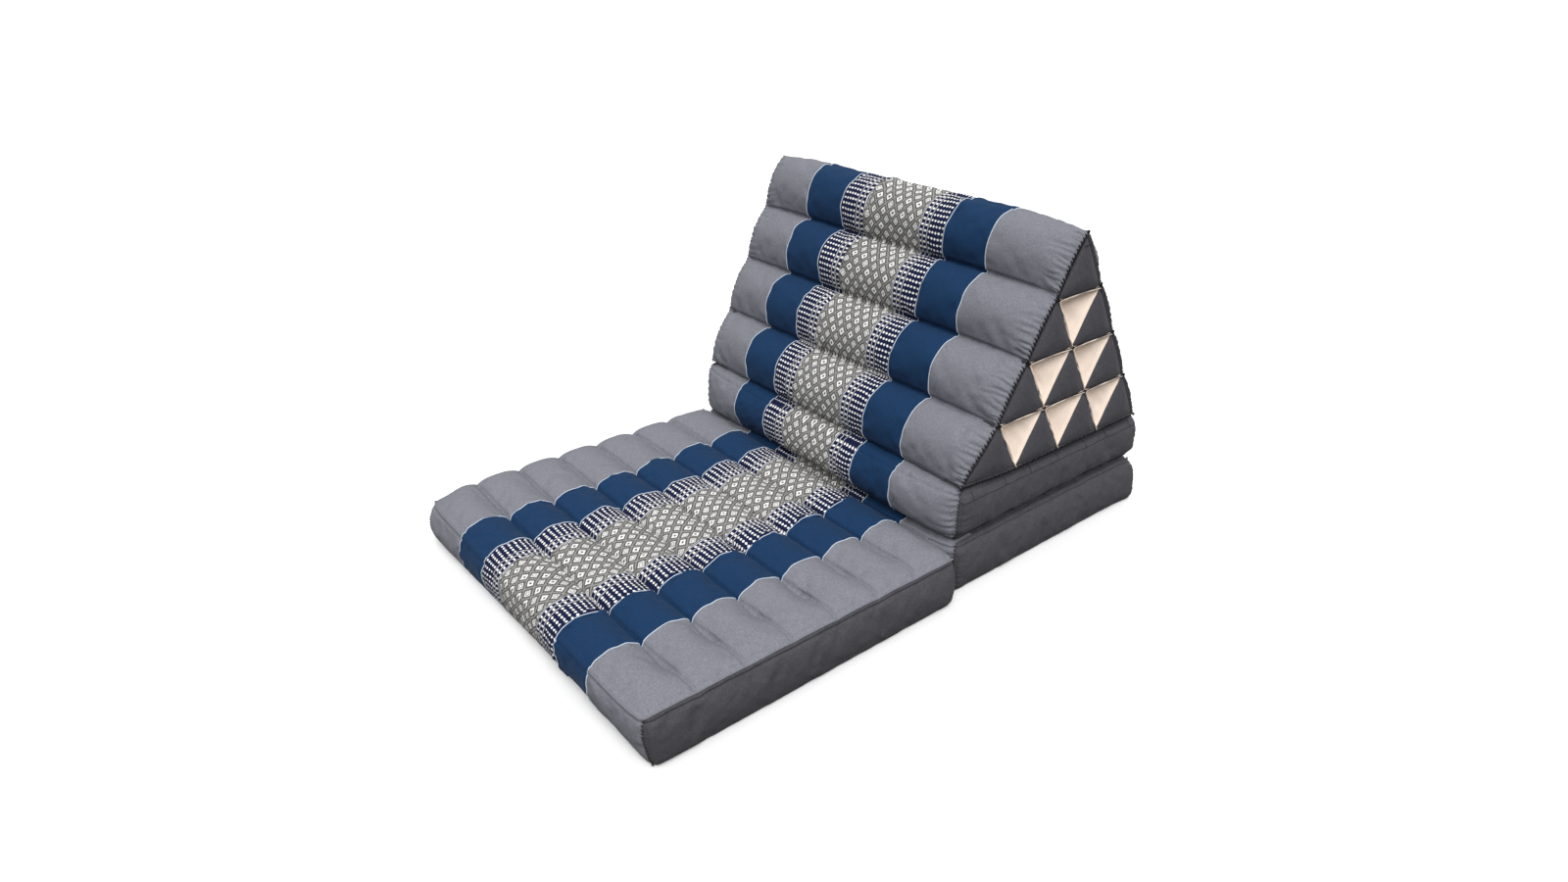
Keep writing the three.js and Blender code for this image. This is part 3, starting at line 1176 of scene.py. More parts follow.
@dataclass
class Pad(Cover):
    """A channelled pad: two seamed panels joined by a border, filled and quilted.

    Attributes:
        front: The front corners' y.
        back: The back corners' y.
        low: The underside's height.
        high: The upper seam's height at the corners.
        channels: The number of sewn channels.
        crest: How far a channel stands above the seam.
        groove: How far the seams and grooves sink between the corners.
        swell: How far the front and the back seam swell out between the corners.
        belly: How far the front and the back face belly out.
        side_belly: How far the side borders belly out.
        fine: The spacing of the final mesh.
        drop: How far below the upper seam the side borders are topstitched.
        back_rise: How far the back seam's middle stands above the front seam's.
        sags: Where the filled pad gives way.
        welting: The cloth of the welt.
        tie: The distance between the tucks that are tied down over a deep topstitched edge.
        scallops: How far the right and the left upper seam dip at the grooves.
        pucker: How deep the end faces are gathered at their corners, and how far in.
    """

    front: float
    back: float
    low: float
    high: float
    channels: int
    crest: float
    groove: float
    swell: tuple[float, float]
    belly: tuple[float, float]
    side_belly: float
    fine: float = 3.6
    drop: float = 2.8
    back_rise: float = 0.0
    sags: tuple[Sag, ...] = ()
    welting: Cloth = Cloth.CHARCOAL
    tie: float = 48.0
    scallops: tuple[float, float] = (1.5, 3.0)
    pucker: tuple[float, float] = (0.75, 9.0)

    def seams(self, x: Array) -> tuple[Array, Array, Array, Array]:
        """Finds the end seams at x.

        Args:
            x: Places across.

        Returns:
            The fullness, the y of the front and of the back seam, and the upper seams' height.
        """
        full = fullness(self.share(x), PAD_POWER)
        return (full, self.front - self.swell[0] * full, self.back + self.swell[1] * full,
                self.high - self.groove * full)

    def under(self, x: Array) -> Array:
        """Gives the underside's height at x."""
        rise = np.clip((np.abs(self.share(x)) - FLAT_SHARE) / (1 - FLAT_SHARE), 0, None) ** 2
        return self.low + SEAM_LIFT * rise

    def top_points(self, x: Array, run: Array) -> Array:
        """Places the upper panel.

        Args:
            x: The columns' x.
            run: The rows' share of the way from the front seam to the back seam.

        Returns:
            The points.
        """
        full, front, back, top = self.seams(x)
        y = lerp(front, back, run[:, None])
        step = (run * self.channels) % 1
        arch = np.sqrt(np.clip(1 - (2 * step - 1) ** 2, 0, 1))[:, None]
        soft = self.bands.softness(x)
        edge = np.minimum(run, 1 - run) * self.channels
        soft = lerp(1.0, soft, ease(0.1, 0.75, edge)[:, None])
        crown = fullness(self.share(x), CROWN_POWER)
        level = top + self.back_rise * full * ease(0.5, 1, run[:, None])
        z = level + (self.crest + self.groove) * (1 - soft * (1 - arch)) * crown
        return np.stack(np.broadcast_arrays(x, y, z), -1)

    def face_points(self, x: Array, height: Array, side: int) -> Array:
        """Places the front face (side 0) or the back face (side 1).

        Args:
            x: The columns' x.
            height: The rows' share of the way from the lower to the upper seam.
            side: Which face.

        Returns:
            The points.
        """
        full, front, back, top = self.seams(x)
        seam, sign = (front, -1) if side == 0 else (back, 1)
        up = np.minimum(height, 1 - height)[:, None] * 2
        out = lerp(CORNER_BELLY, self.belly[side], full) * dome(up, FACE_ROUND)
        z = lerp(self.low + SEAM_LIFT, top + side * self.back_rise * full, height[:, None])
        return np.stack(np.broadcast_arrays(x, seam + sign * out, z), -1)

    def side_points(self, run: Array, height: Array, side: Side) -> Array:
        """Places a side border.

        Args:
            run: The columns' share of the way from front to back.
            height: The rows' share of the way from the lower to the upper seam.
            side: Which side.

        Returns:
            The points.
        """
        out = CORNER_BELLY * dome(np.minimum(height, 1 - height)[:, None] * 2, FACE_ROUND)
        y = lerp(self.front - out, self.back + out, run)
        z = lerp(self.low + SEAM_LIFT, self.high, height[:, None])
        up = np.minimum(height[:, None] / BELLY_HEIGHT, (1 - height[:, None]) / (1 - BELLY_HEIGHT))
        along = np.minimum(run, 1 - run) * (self.back - self.front) / BORDER_ROUND
        belly = self.side_belly * dome(up, SIDE_ROUND) * dome(along, SIDE_ROUND)
        x = self.centre_x + side.value * (self.width / 2 + belly)
        return np.stack(np.broadcast_arrays(x, y, z), -1)

    def under_points(self, x: Array, run: Array) -> Array:
        """Places the underside, which turns up to the lower seams.

        Args:
            x: The columns' x.
            run: The rows' share of the way from the front seam to the back seam.

        Returns:
            The points.
        """
        _, front, back, _ = self.seams(x)
        y = lerp(front, back, run[:, None])
        inside = np.minimum(y - front, back - y)
        lip = SEAM_LIFT * (1 - np.clip(inside / UNDER_INSET, 0, 1)) ** 2
        z = self.low + np.maximum(lip, self.under(x) - self.low)
        return np.stack(np.broadcast_arrays(x, y, z), -1)

    def make_patches(self, fine: float, coarse: float, reach: float, upright: float) -> list[Patch]:
        """Cuts the cover's panels at a given fineness.

        Args:
            fine: The spacing at seams.
            coarse: The spacing elsewhere.
            reach: How far from a seam the spacing grows.
            upright: The largest spacing of the rows of a face or border.

        Returns:
            The upper panel, underside, front and back face, right and left border.
        """
        half, length = self.width / 2, self.back - self.front
        x = self.bands.columns(self.centre_x - half, self.centre_x + half, fine, coarse, reach)
        channel = graded(length / self.channels, fine, coarse, reach * 0.6)
        channel = channel / channel[-1]
        run = np.concatenate([(channel[:-1] + k) for k in range(self.channels)] + [[self.channels]])
        run = run / self.channels
        tall = graded(self.high - self.low, fine, upright, reach)
        height = tall / tall[-1]
        kinds = self.bands.finish(x)
        plain = Cloth.CHARCOAL.value
        top = self.top_points(x, run)
        edged = np.tile(kinds, (len(run) - 1, 1))
        # The stacked pads, whose welt is charcoal, get a charcoal strip along the side edges of the upper
        # panel, which makes the gaps between the pads look dark.
        if self.welting is Cloth.CHARCOAL:
            outer = np.abs((x[1:] + x[:-1]) / 2 - self.centre_x) > half - EDGE_WIDTH
            edged[np.ix_(run[:-1] * length > EDGE_START, outer)] = plain
        along = travelled(top[:, len(x) // 2])
        across = x - self.bands.middle
        behind = along[-1] + tall[-1] - tall
        patches = [
            cut(top, run, x, edged, across, along, False),
            cut(self.under_points(x, run), run, x, plain, x, run * length, True),
            cut(self.face_points(x, height, 0), height, x, kinds, across, tall - tall[-1], False),
            cut(self.face_points(x, height, 1), height, x, kinds, across, behind, True),
        ]
        for side in Side:
            points = self.side_points(run, height, side)
            patches.append(cut(points, height, run, plain, run * length, tall, side is Side.LEFT))
        patches[1].pin[:] = 1
        step = (run * self.channels) % 1
        sewn = np.minimum(step, 1 - step) < 1e-6
        patches[0].pin[sewn] = np.maximum(patches[0].pin[sewn], 0.35 + 0.65 * self.bands.softness(x))
        return patches

    def scalloped(self, points: Array) -> Array:
        """Lets the upper side seams rise with each channel and dip at each groove.

        Args:
            points: Points of the pad.

        Returns:
            The points, moved near those seams.
        """
        x, y, z = np.moveaxis(points, -1, 0)
        run = np.clip((y - self.front) / (self.back - self.front), 0, 1) * self.channels
        ends = ease(0.1, 0.8, np.minimum(run, self.channels - run))
        wave = (0.4 - np.abs(2 * (run % 1) - 1) ** 3) * ends
        right = x > self.centre_x
        depth = np.where(right, self.scallops[0], self.scallops[1])
        near = hump(np.abs(x - self.centre_x) - self.width / 2, 24)
        near = near * ease(lerp(self.low, self.high, 0.45), self.high, z)
        move = depth * wave * near
        return np.stack([x + np.where(right, 0.35, -0.35) * move, y, z + move], -1)

    def dress(self) -> None:
        """Raises the seam ridges and sinks the creases, tucks and puckers."""
        top, _, front, back, right, left = self.patches
        x, run = top.columns, top.rows
        length = self.back - self.front
        y = run[:, None] * length
        step = (run * self.channels) % 1
        from_line = np.minimum(step, 1 - step)[:, None] * length / self.channels
        rows_in = np.minimum(run, 1 - run)[:, None] * length
        sides = np.minimum(x - x[0], x[-1] - x)
        soft = self.bands.softness(x)
        crease = PAD_CREASE * hump(from_line, CREASE_WIDTH) * ease(1, 6, rows_in) * ease(0, 5, sides)
        waves = ripple(x, y, 60, self.seed) * 0.5 + ripple(x, y, 17, self.seed + 1) * 0.12
        calm = ease(0, 14, sides) * ease(0, 10, rows_in)
        top.lift -= crease * (1.25 - 0.5 * soft)
        top.lift += waves * calm
        top.lift += self.dimples(x, y) * calm
        for k in range(1, self.channels):
            line = k * length / self.channels
            for sign in (-1, 1):
                away = np.where((y - line) * sign >= 0, np.abs(y - line), 99)
                fold = pleats(x - x[0] + 0 * y, away, x[-1] - x[0], 13, 9, self.seed + 40 * k + sign)
                top.lift += fold * 0.55 * ease(0, 8, sides) * (0.35 + soft)
        for away, along, total, seed in (
            (sides + 0 * y, y + 0 * x, length, 5),
            (rows_in + 0 * x, x - x[0] + 0 * y, self.width, 6),
        ):
            puckered = 0.5 * pleats(along, away, total, 9, 9, self.seed + seed) * ease(0, 3, away)
            top.lift += self.seam(away) + puckered
        for patch, seed, gathered in ((front, 11, 1.0), (back, 12, 1.0), (right, 13, 0.45), (left, 14, 0.45)):
            self.dress_face(patch, self.seed + seed, self.pucker[0] * gathered)

    def dimples(self, x: Array, y: Array) -> Array:
        """Sinks a soft hollow where each groove ends in the grey band.

        Args:
            x: The columns' x.
            y: The rows' distance from the front.

        Returns:
            The lift.
        """
        rng = np.random.default_rng(self.seed + 300)
        total = np.zeros(np.broadcast(x, y).shape)
        pitch = (self.back - self.front) / self.channels
        for k in range(1, self.channels):
            for sign in (-1, 1):
                over = x - self.bands.middle - sign * (self.bands.blue + rng.uniform(34, 46))
                up = y - k * pitch - rng.uniform(-2, 2)
                wide, tall = rng.uniform(24, 34), rng.uniform(12, 16)
                across = over / wide
                along = (up - across * rng.uniform(-1.5, 1.5)) / tall
                total -= (1.7 + 0.9 * sign) * rng.uniform(0.8, 1.2) * np.exp(-(across**2) - along**2)
                for turn in rng.uniform(-0.8, 0.8, 3):
                    start = over - sign * rng.uniform(-10, 14)
                    run = start * math.cos(turn) + up * math.sin(turn)
                    off = up * math.cos(turn) - start * math.sin(turn) + 0.004 * run**2
                    fade = hump(run, rng.uniform(11, 22))
                    total -= rng.uniform(0.2, 0.5) * fade * hump(off, rng.uniform(2.5, 5.5))
        return total

    def seam(self, away: Array) -> Array:
        """Shapes a seam, raised at its line and drawn in beside it, by the distance from it."""
        return RIDGE * hump(away, RIDGE_WIDTH) - DRAWN * hump(away - DRAWN_FROM, DRAWN_WIDTH)

    def dress_face(self, patch: Patch, seed: int, gathered: float) -> None:
        """Raises the seams round a border panel and puckers it at its corners.

        Args:
            patch: The panel.
            seed: Picks the puckers.
            gathered: How deep they are.
        """
        steps = np.linalg.norm(np.diff(patch.points, axis=1), axis=2).mean(0)
        across = np.concatenate([[0], np.cumsum(steps)])
        tall = self.high - self.low
        up = patch.rows[:, None] * tall + 0 * across
        sides = np.minimum(across, across[-1] - across) + 0 * up
        ends = np.minimum(up, tall - up)
        patch.lift += self.seam(ends) + self.seam(sides)
        waves = 0.7 * ripple(across, up, 70, seed) + 0.15 * ripple(across, up * 1.6, 22, seed + 1)
        patch.lift += ease(0, 9, ends) * ease(0, 9, sides) * waves
        pucker = pleats(up, sides, tall, 7.5, self.pucker[1], seed + 2) * gathered
        tuck = pleats(across + 0 * up, tall - up, across[-1], 26, 10, seed + 3) * 0.35
        patch.lift += (pucker + tuck) * ease(0, 2.5, np.minimum(sides, ends))

    def build(self, shop: Workshop) -> bpy.types.Object:
        """Sews, fills and dresses the pad.

        Args:
            shop: Makes the pieces.

        Returns:
            The cover.
        """
        self.patches = self.make_patches(SEAM_STEP, self.fine, 11, UPRIGHT_STEP)
        rough = self.make_patches(6.5, ROUGH_STEP, 10, ROUGH_STEP)
        press_patches(rough, self.patches, Filling(2.5, 0.008), self.seed)
        for patch in self.patches:
            for sag in self.sags:
                patch.points = sag.shift(patch.points)
            patch.points = self.scalloped(patch.points)
        self.dress()
        self.close()
        return self.sew(shop, 0.75)

    def piped(self, column: int) -> Array:
        """Numbers the points under a column's piping, up the front face and along the top."""
        return np.concatenate([self.shell.index[2][:, column], self.shell.index[0][1:, column]])

    def welt(self, shop: Workshop) -> bpy.types.Object:
        """Folds the seam allowance into a narrow welt along the borders' upper seams.

        On the seat, whose front is free, it goes on round the grey ends of the front seam.

        Args:
            shop: Makes the pieces.

        Returns:
            The welt.
        """
        top = self.shell.index[0]
        rows = [top[1:, 0], top[1:, -1]]
        if self.welting is Cloth.GREY:
            x = self.patches[0].columns
            outer = np.abs(x - self.bands.middle) > self.bands.blue
            left, right = outer & (x < self.centre_x), outer & (x > self.centre_x)
            rows = [np.concatenate([top[0, left][::-1], rows[0]]), np.concatenate([top[0, right], rows[1]])]
        tubes = []
        for number, path in enumerate(rows):
            points = self.lay(path, WELT_OUT)
            run = np.arange(len(points))
            points[:, 2] += ripple(run * 4.0, 0 * run, 60, self.seed + 70 + number) * 0.25
            tubes.append((points, WELT))
        cloth = shop.cover[self.welting.value]
        return shop.strands(self.name + "_welt", tubes, cloth, "patterned_cover", sides=8)

    def stitch(self, shop: Workshop) -> bpy.types.Object:
        """Sews the borders: a thread under each welt, an unbroken black line that is also painted shadow
        under the welt, ties over a deep one and whip stitches at the corners.

        A pad that lies on another is also whipped along its lower side seams, with stitches so thick and
        close that they make a near-solid black line: painted shade for the dark gap between the stacked pads.

        Args:
            shop: Makes the pieces.

        Returns:
            The stitching.
        """
        rng = np.random.default_rng(self.seed + 80)
        index = self.shell.index
        borders = index[4], index[5]
        low = (1 - self.patches[4].rows) * (self.high - self.low)
        row = int(np.argmin(np.abs(low - self.drop)))
        # The row of stitches is one unbroken black line: thread, and painted shadow under the welt.
        threads = [(grid[row], ROW_THREAD) for grid in borders]
        count = int((self.back - self.front) / self.tie)
        for number in range(2 * count if self.drop > TIED_BELOW else 0):
            grid = borders[number % 2]
            column = int((number // 2 + rng.uniform(0.3, 0.7)) / count * (grid.shape[1] - 1))
            threads.append((grid[row:-2, column], TIE_THREAD))
        tubes = [(self.lay(path, THREAD_OUT), radius) for path, radius in threads]
        for face, column, border, edge in ((2, -1, 4, 0), (2, 0, 5, 0), (3, -1, 4, -1), (3, 0, 5, -1)):
            step, other = (-2 if column else 2), (-2 if edge else 2)
            seam = index[face][:, column]
            beside = index[face][:, column + step], index[border][:, edge + other]
            tubes += self.whipped(seam, beside, Whip(4.6, 1.2, 0.4), rng)
        # Painted shade: thick, close black whip stitches along the lower side seams of a pad that lies on
        # another make a near-solid line where the gap between the pads is in shadow.
        for border, under in ((4, -3), (5, 2)) if self.low > 0 else ():
            beside = index[border][2], index[1][:, under]
            tubes += self.whipped(index[border][0], beside, Whip(4.4, 2.4, 0.9), rng)
        return shop.strands(self.name + "_stitching", tubes, shop.thread, "black_thread", sides=5)


class Crease(Enum):
    """The three creases of the cushion that a hinge strip lies in."""

    SEAT = "between the seat pad and the lower pad"
    FRONT = "in front, between the upper pad and the bolster"
    BACK = "behind, between the two stacked pads"


@dataclass
class Hinge:
    """A strip of cover cloth that joins two pieces and sinks into the crease between them.

    Attributes:
        crease: Which crease it lies in.
        bands: The bands of the cloth, or None where it is plain charcoal.
        cut_width: How wide the strip was cut, in millimetres.
        rests_on: What holds it. It is not used.
        seed: Picks its creases.
        centre_x: The middle's x.
        half: Half of its length from end to end.
        steps: The points over its width.
        thick: The thickness of the doubled cloth.
    """

    crease: Crease
    bands: Bands | None
    cut_width: float
    rests_on: list[str]
    seed: int
    centre_x: float = -6.0
    half: float = 220.0
    steps: int = 15
    thick: float = 0.9

    def path(self, start: Array, stop: Array, sink: Array) -> Array:
        """Lays the strip from one seam to the other, through the crease.

        Args:
            start: The y and z of the first seam, for each column.
            stop: The y and z of the other seam, for each column.
            sink: How far, in y and z, the strip's middle sinks.

        Returns:
            Rows by columns by two.
        """
        t = np.linspace(0, 1, self.steps)[:, None, None]
        bow = np.sin(math.pi * t) ** 0.75
        along = t + 0.12 * np.sin(2 * math.pi * t)
        return start + (stop - start) * along + np.asarray(sink) * bow

    def laid(self, x: Array, first: Pad, other: "Pad | Bolster") -> Array:
        """Lays the strip's outer face between the two pieces that it joins.

        Args:
            x: The columns' x.
            first: The pad that it starts from.
            other: The pad or bolster that it leads to.

        Returns:
            Rows by columns by three.
        """
        _, front, back, top = first.seams(x)
        if self.crease is Crease.SEAT:
            _, next_front, _, next_top = other.seams(x)
            level = top + first.back_rise * fullness(first.share(x), PAD_POWER)
            start, stop, sink = (back + 0.4, level + 0.3), (next_front - 0.4, next_top + 0.2), (0, -9.0)
        elif self.crease is Crease.FRONT:
            edge, level = np.full(len(x), other.front[0] + 2.0), np.full(len(x), other.front[1] - 0.6)
            start, stop, sink = (front + 2.4, top + 0.8), (edge, level), (7.5, 0)
        else:
            _, _, next_back, _ = other.seams(x)
            foot = np.full(len(x), other.low + SEAM_LIFT)
            start, stop, sink = (back + 0.4, top + 0.6), (next_back + 0.5, foot), (2.6, 0)
        flat = self.path(np.stack(start, -1), np.stack(stop, -1), sink)
        return np.concatenate([np.broadcast_to(x[None, :, None], flat.shape[:2] + (1,)), flat], -1)

    def build(self, shop: Workshop, first: Pad, other: "Pad | Bolster") -> bpy.types.Object:
        """Cuts, folds and lays the strip.

        Args:
            shop: Makes the pieces.
            first: The pad that it starts from.
            other: The pad or bolster that it leads to.

        Returns:
            The strip.
        """
        bands = self.bands or Bands(self.centre_x)
        x = bands.columns(self.centre_x - self.half, self.centre_x + self.half, 4, 8, 20)
        outer = self.laid(x, first, other)
        normal = np.cross(np.gradient(outer, axis=1), np.gradient(outer, axis=0))
        normal /= np.maximum(np.linalg.norm(normal, axis=2, keepdims=True), 1e-9)
        rows = np.arange(self.steps) * 1.0
        outer += normal * 0.3 * ripple(x, rows[:, None] * 2, 35, self.seed)[..., None]
        inner = outer - normal * self.thick
        plain = Cloth.CHARCOAL.value
        finish = bands.finish(x) if self.bands else plain
        run = np.linspace(0, self.cut_width, self.steps)
        over = x - bands.middle
        patches = [
            cut(outer, rows, x, finish, over, run, False),
            cut(inner, rows, x, finish, over, run, True),
        ]
        for end, flip in ((0, True), (-1, False)):
            edge = np.stack([outer[end], inner[end]])
            patches.append(cut(edge, rows[:2], x, finish, over, run[:2], flip))
        for end, flip in ((0, False), (-1, True)):
            edge = np.stack([outer[:, end], inner[:, end]])
            patches.append(cut(edge, rows[:2], rows, plain, run, run[:2], flip))
        shell = weld(patches)
        slot = "patterned_cover" if self.bands else "charcoal_cover"
        name = "hinge_" + self.crease.name.lower()
        made = shop.piece(name + "_cloth", shell, shell.points, shop.cover, slot)
        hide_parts(name)
        return made


# The triangle bolster, as in the part's source: how sharply its swelling ends, the rim and depth of the
# wells at its ends, the gap round an end piece, and how the left end leans out.
ROLL_POWER = 4
RIM = 2.5
WELL = 30.0
GAP = 0.3
BASE_IN, RIDGE_OUT, RIDGE_UP = 10.0, 24.0, 7.0
# The crease between two rolls: its depth, and half of its width.
ROLL_CREASE, ROLL_CREASE_WIDTH = 2.6, 2.0


def between(a: Array, b: Array, run: Array) -> Array:
    """Places points on the straight line from a to b.

    Args:
        a: The first end.
        b: The last end.
        run: The share of the way of each point.

    Returns:
        The points.
    """
    return lerp(np.asarray(a), np.asarray(b), np.asarray(run)[..., None])


def inset_triangle(corners: list[Array], inset: float) -> list[Array]:
    """Moves each side of a triangle in by the same distance.

    Args:
        corners: Its corners.
        inset: The distance.

    Returns:
        The new corners.
    """
    a, b, c = (np.asarray(p, float) for p in corners)
    sides = [np.linalg.norm(c - b), np.linalg.norm(a - c), np.linalg.norm(b - a)]
    around = sum(sides)
    area = abs((b[0] - a[0]) * (c[1] - a[1]) - (c[0] - a[0]) * (b[1] - a[1])) / 2
    centre = sum(p * s for p, s in zip((a, b, c), sides)) / around
    return [lerp(p, centre, inset * around / (2 * area)) for p in (a, b, c)]


def knotted(place: Array, side: Side) -> tuple[Array, float]:
    """Ties a small knot of thread on an end seam.

    Args:
        place: Where it sits.
        side: Which end it is on.

    Returns:
        Its path and radius.
    """
    turn = np.linspace(0, 3.5 * math.pi, 16)
    out = (np.sin(turn * 0.5) * 0.9 + 0.6) * side.value
    return place + np.stack([out, np.cos(turn) * 1.3, np.sin(turn) * 1.3], 1), 0.7


@dataclass
class Bolster(Cover):
    """The filled triangle: four long rolls on each slope, gathered into stitched end seams.

    Attributes:
        apex: The ridge's y and z at the ends.
        front: The front edge's y and z.
        back: The back edge's y and z.
        rows: The rolls on each slope.
        roll_swell: How far a roll stands over its chord in the middle.
        end_swell: How far it stands over it at the ends.
        ridge_rise: How far the ridge rises between the ends.
        corner: How the lower front corner on the right is drawn in.
    """

    name: str = "bolster"
    centre_x: float = -6.0
    width: float = 528.0
    bands: Bands = HIGH_BANDS
    seed: int = 500
    apex: tuple[float, float] = (194.0, 424.0)
    front: tuple[float, float] = (25.0, 146.0)
    back: tuple[float, float] = (362.0, 146.0)
    rows: int = 4
    roll_swell: float = 23.0
    end_swell: float = 3.5
    ridge_rise: float = 8.0
    corner: Sag = Sag((258, 25, 146), (50, 48, 40), (-8, -1, -1))

    def lean(self, points: Array) -> Array:
        """Leans the left end out towards the ridge.

        Args:
            points: Points of the bolster, unleaned.

        Returns:
            The points where the sewn bolster has them.
        """
        x, y, z = np.moveaxis(points, -1, 0)
        end = np.clip((self.centre_x - x) / (self.width / 2), 0, None)
        height = (z - self.front[1]) / (self.apex[1] - self.front[1])
        out = lerp(-BASE_IN, RIDGE_OUT, height)
        return self.corner.shift(np.stack([x - out * end, y, z + RIDGE_UP * height * end**2], -1))

    def slope_points(self, x: Array, run: Array, behind: bool) -> Array:
        """Places the rolls of one slope.

        Args:
            x: The columns' x.
            run: The rows' share of the way from the edge up to the ridge.
            behind: Whether it is the back slope.

        Returns:
            The points, unleaned.
        """
        full = fullness(self.share(x), ROLL_POWER)
        swell = lerp(self.end_swell * (0.3 if behind else 1), self.roll_swell, full)
        foot = np.array(self.back if behind else self.front)
        ridge_z = self.apex[1] + self.ridge_rise * full
        way_y = self.apex[0] - foot[0] + 0 * full
        way_z = ridge_z - foot[1]
        length = np.hypot(way_y, way_z)
        chord = length / self.rows
        radius = (chord**2 / 4 + swell**2) / (2 * swell)
        local = (run * self.rows) % 1
        local = np.where(run >= 1, 1.0, local)[:, None]
        height = np.sqrt(radius**2 - ((local - 0.5) * chord) ** 2) - (radius - swell)
        sign = 1 if behind else -1
        y = foot[0] + way_y * run[:, None] + sign * way_z / length * height
        z = foot[1] + way_z * run[:, None] - sign * way_y / length * height
        return np.stack(np.broadcast_arrays(x, y, z), -1)

    def make_patches(self, fine: float, coarse: float, reach: float,
                     steps: tuple[int, int]) -> list[Patch]:
        """Cuts the bolster's panels at a given fineness.

        Args:
            fine: The spacing of columns at the end seams.
            coarse: Their spacing elsewhere.
            reach: How far from an end seam the spacing grows.
            steps: The rows of one roll in front and behind.

        Returns:
            The front slope, the back slope, the base, and three end panels for each end.
        """
        half = self.width / 2
        x = self.bands.columns(self.centre_x - half, self.centre_x + half, fine, coarse, reach)
        runs = [self.roll_rows(count) for count in steps]
        flat = np.linspace(0, 1, min(30, 2 * steps[0]) + 1)
        kinds = self.bands.finish(x)
        plain = np.full(len(kinds), Cloth.CHARCOAL.value)
        slopes = [self.slope_points(x, run, behind) for run, behind in zip(runs, (False, True))]
        foot = between(self.front, self.back, flat)[:, None]
        base = np.stack(np.broadcast_arrays(x, foot[..., 0], foot[..., 1]), -1)
        along = travelled(slopes[0][:, len(x) // 2])
        across = x - self.bands.middle
        behind_run = 2 * along[-1] - np.interp(runs[1], runs[0], along)
        top_roll = (runs[1][1:] > 1 - 1 / self.rows + 1e-6)[:, None]
        behind = np.where(top_roll, kinds, plain)
        patches = [
            cut(slopes[0], runs[0], x, kinds, across, along, False),
            cut(slopes[1], runs[1], x, behind, across, behind_run, True),
            cut(base, flat, x, plain, x, flat * (self.back[0] - self.front[0]), True),
        ]
        rim = inset_triangle([self.apex, self.front, self.back], RIM)
        apex, front, back = rim
        lines = (
            (slopes[0], runs[0], front, apex),
            (slopes[1], runs[1], back, apex),
            (base, flat, front, back),
        )
        for side in Side:
            column = -1 if side is Side.RIGHT else 0
            end_x = self.centre_x + side.value * half
            centre = np.mean(rim, axis=0)
            for number, (panel, rows, start, stop) in enumerate(lines):
                inner = between(start, stop, rows)
                rings = [panel[:, column]]
                for depth in (0.0, WELL):
                    at = np.full((len(rows), 1), end_x - side.value * depth)
                    rings.append(np.concatenate([at, inner], 1))
                rings.append(np.tile([end_x - side.value * WELL, *centre], (len(rows), 1)))
                flip = (side is Side.LEFT) != (number > 0)
                levels = np.arange(4.0)
                made = cut(np.stack(rings, 1), rows, levels, Cloth.CHARCOAL.value, levels, rows * 300, flip)
                made.pin[:] = 1
                patches.append(made)
        for patch in patches[:2]:
            local = (patch.rows * self.rows) % 1
            patch.pin[np.minimum(local, 1 - local) < 1e-6] = 1
        patches[2].pin[:] = 1
        return patches

    def roll_rows(self, count: int) -> Array:
        """Spaces the rows of a slope, closer together at the creases.

        Args:
            count: The rows of one roll.

        Returns:
            Their share of the way up the slope.
        """
        share = np.linspace(0, 1, count + 1)
        share = lerp(share, (1 - np.cos(math.pi * share)) / 2, 0.45)
        return np.concatenate([share[:-1] + k for k in range(self.rows)] + [[self.rows]]) / self.rows

    def dress(self) -> None:
        """Gathers the rolls into the end seams and deepens the creases between them."""
        for number, patch in enumerate(self.patches[:2]):
            x, run = patch.columns, patch.rows
            length = np.hypot(self.apex[0] - self.front[0], self.apex[1] - self.front[1])
            chord = length / self.rows
            y = run[:, None] * length
            local = (run * self.rows) % 1
            from_line = np.minimum(local, 1 - local)[:, None] * chord
            seed = self.seed + 100 * number
            sides = np.minimum(x - x[0], x[-1] - x)
            patch.lift -= ROLL_CREASE * hump(from_line, ROLL_CREASE_WIDTH) * ease(0, 8, sides)
            calm = ease(0, 30, sides) * ease(0, 10, from_line)
            waves = ripple(x, y, 80, seed) * 0.6 + ripple(x, y, 24, seed + 1) * 0.12
            patch.lift += waves * calm
            arc = y * 1.2
            for side, away, deep in ((1, x[-1] - x, 1.0), (-1, x - x[0], 0.6)):
                place = arc + 0 * x, away + 0 * arc, length * 1.2
                gather = 2.2 * pleats(*place, 9, 36, seed + 7 + side)
                fine = 1.7 * pleats(*place, 4.6, 20, seed + 17 + side)
                held = ease(0, 2.5, away)
                puff = (1 - ease(6, 34, away)) * ease(0, 14, from_line)
                patch.lift += deep * (gather + fine) * held + 1.6 * held * puff
            for k in range(1, self.rows):
                for sign in (-1, 1):
                    away = np.where((y - k * chord) * sign >= 0, np.abs(y - k * chord), 99)
                    fold = pleats(x - x[0] + 0 * y, away, x[-1] - x[0], 19, 12, seed + 40 * k + sign)
                    patch.lift += fold * 0.5 * ease(0, 30, sides)

    def build(self, shop: Workshop) -> bpy.types.Object:
        """Sews, fills and dresses the bolster.

        Args:
            shop: Makes the pieces.

        Returns:
            The cover.
        """
        self.patches = self.make_patches(1.6, 5.5, 60, (70, 40))
        rough = self.make_patches(7.5, 9.5, 40, (9, 9))
        press_patches(rough, self.patches, Filling(2.5, 0.01), self.seed)
        self.dress()
        self.close()
        self.points = self.lean(self.points)
        return self.sew(shop, 0.85)

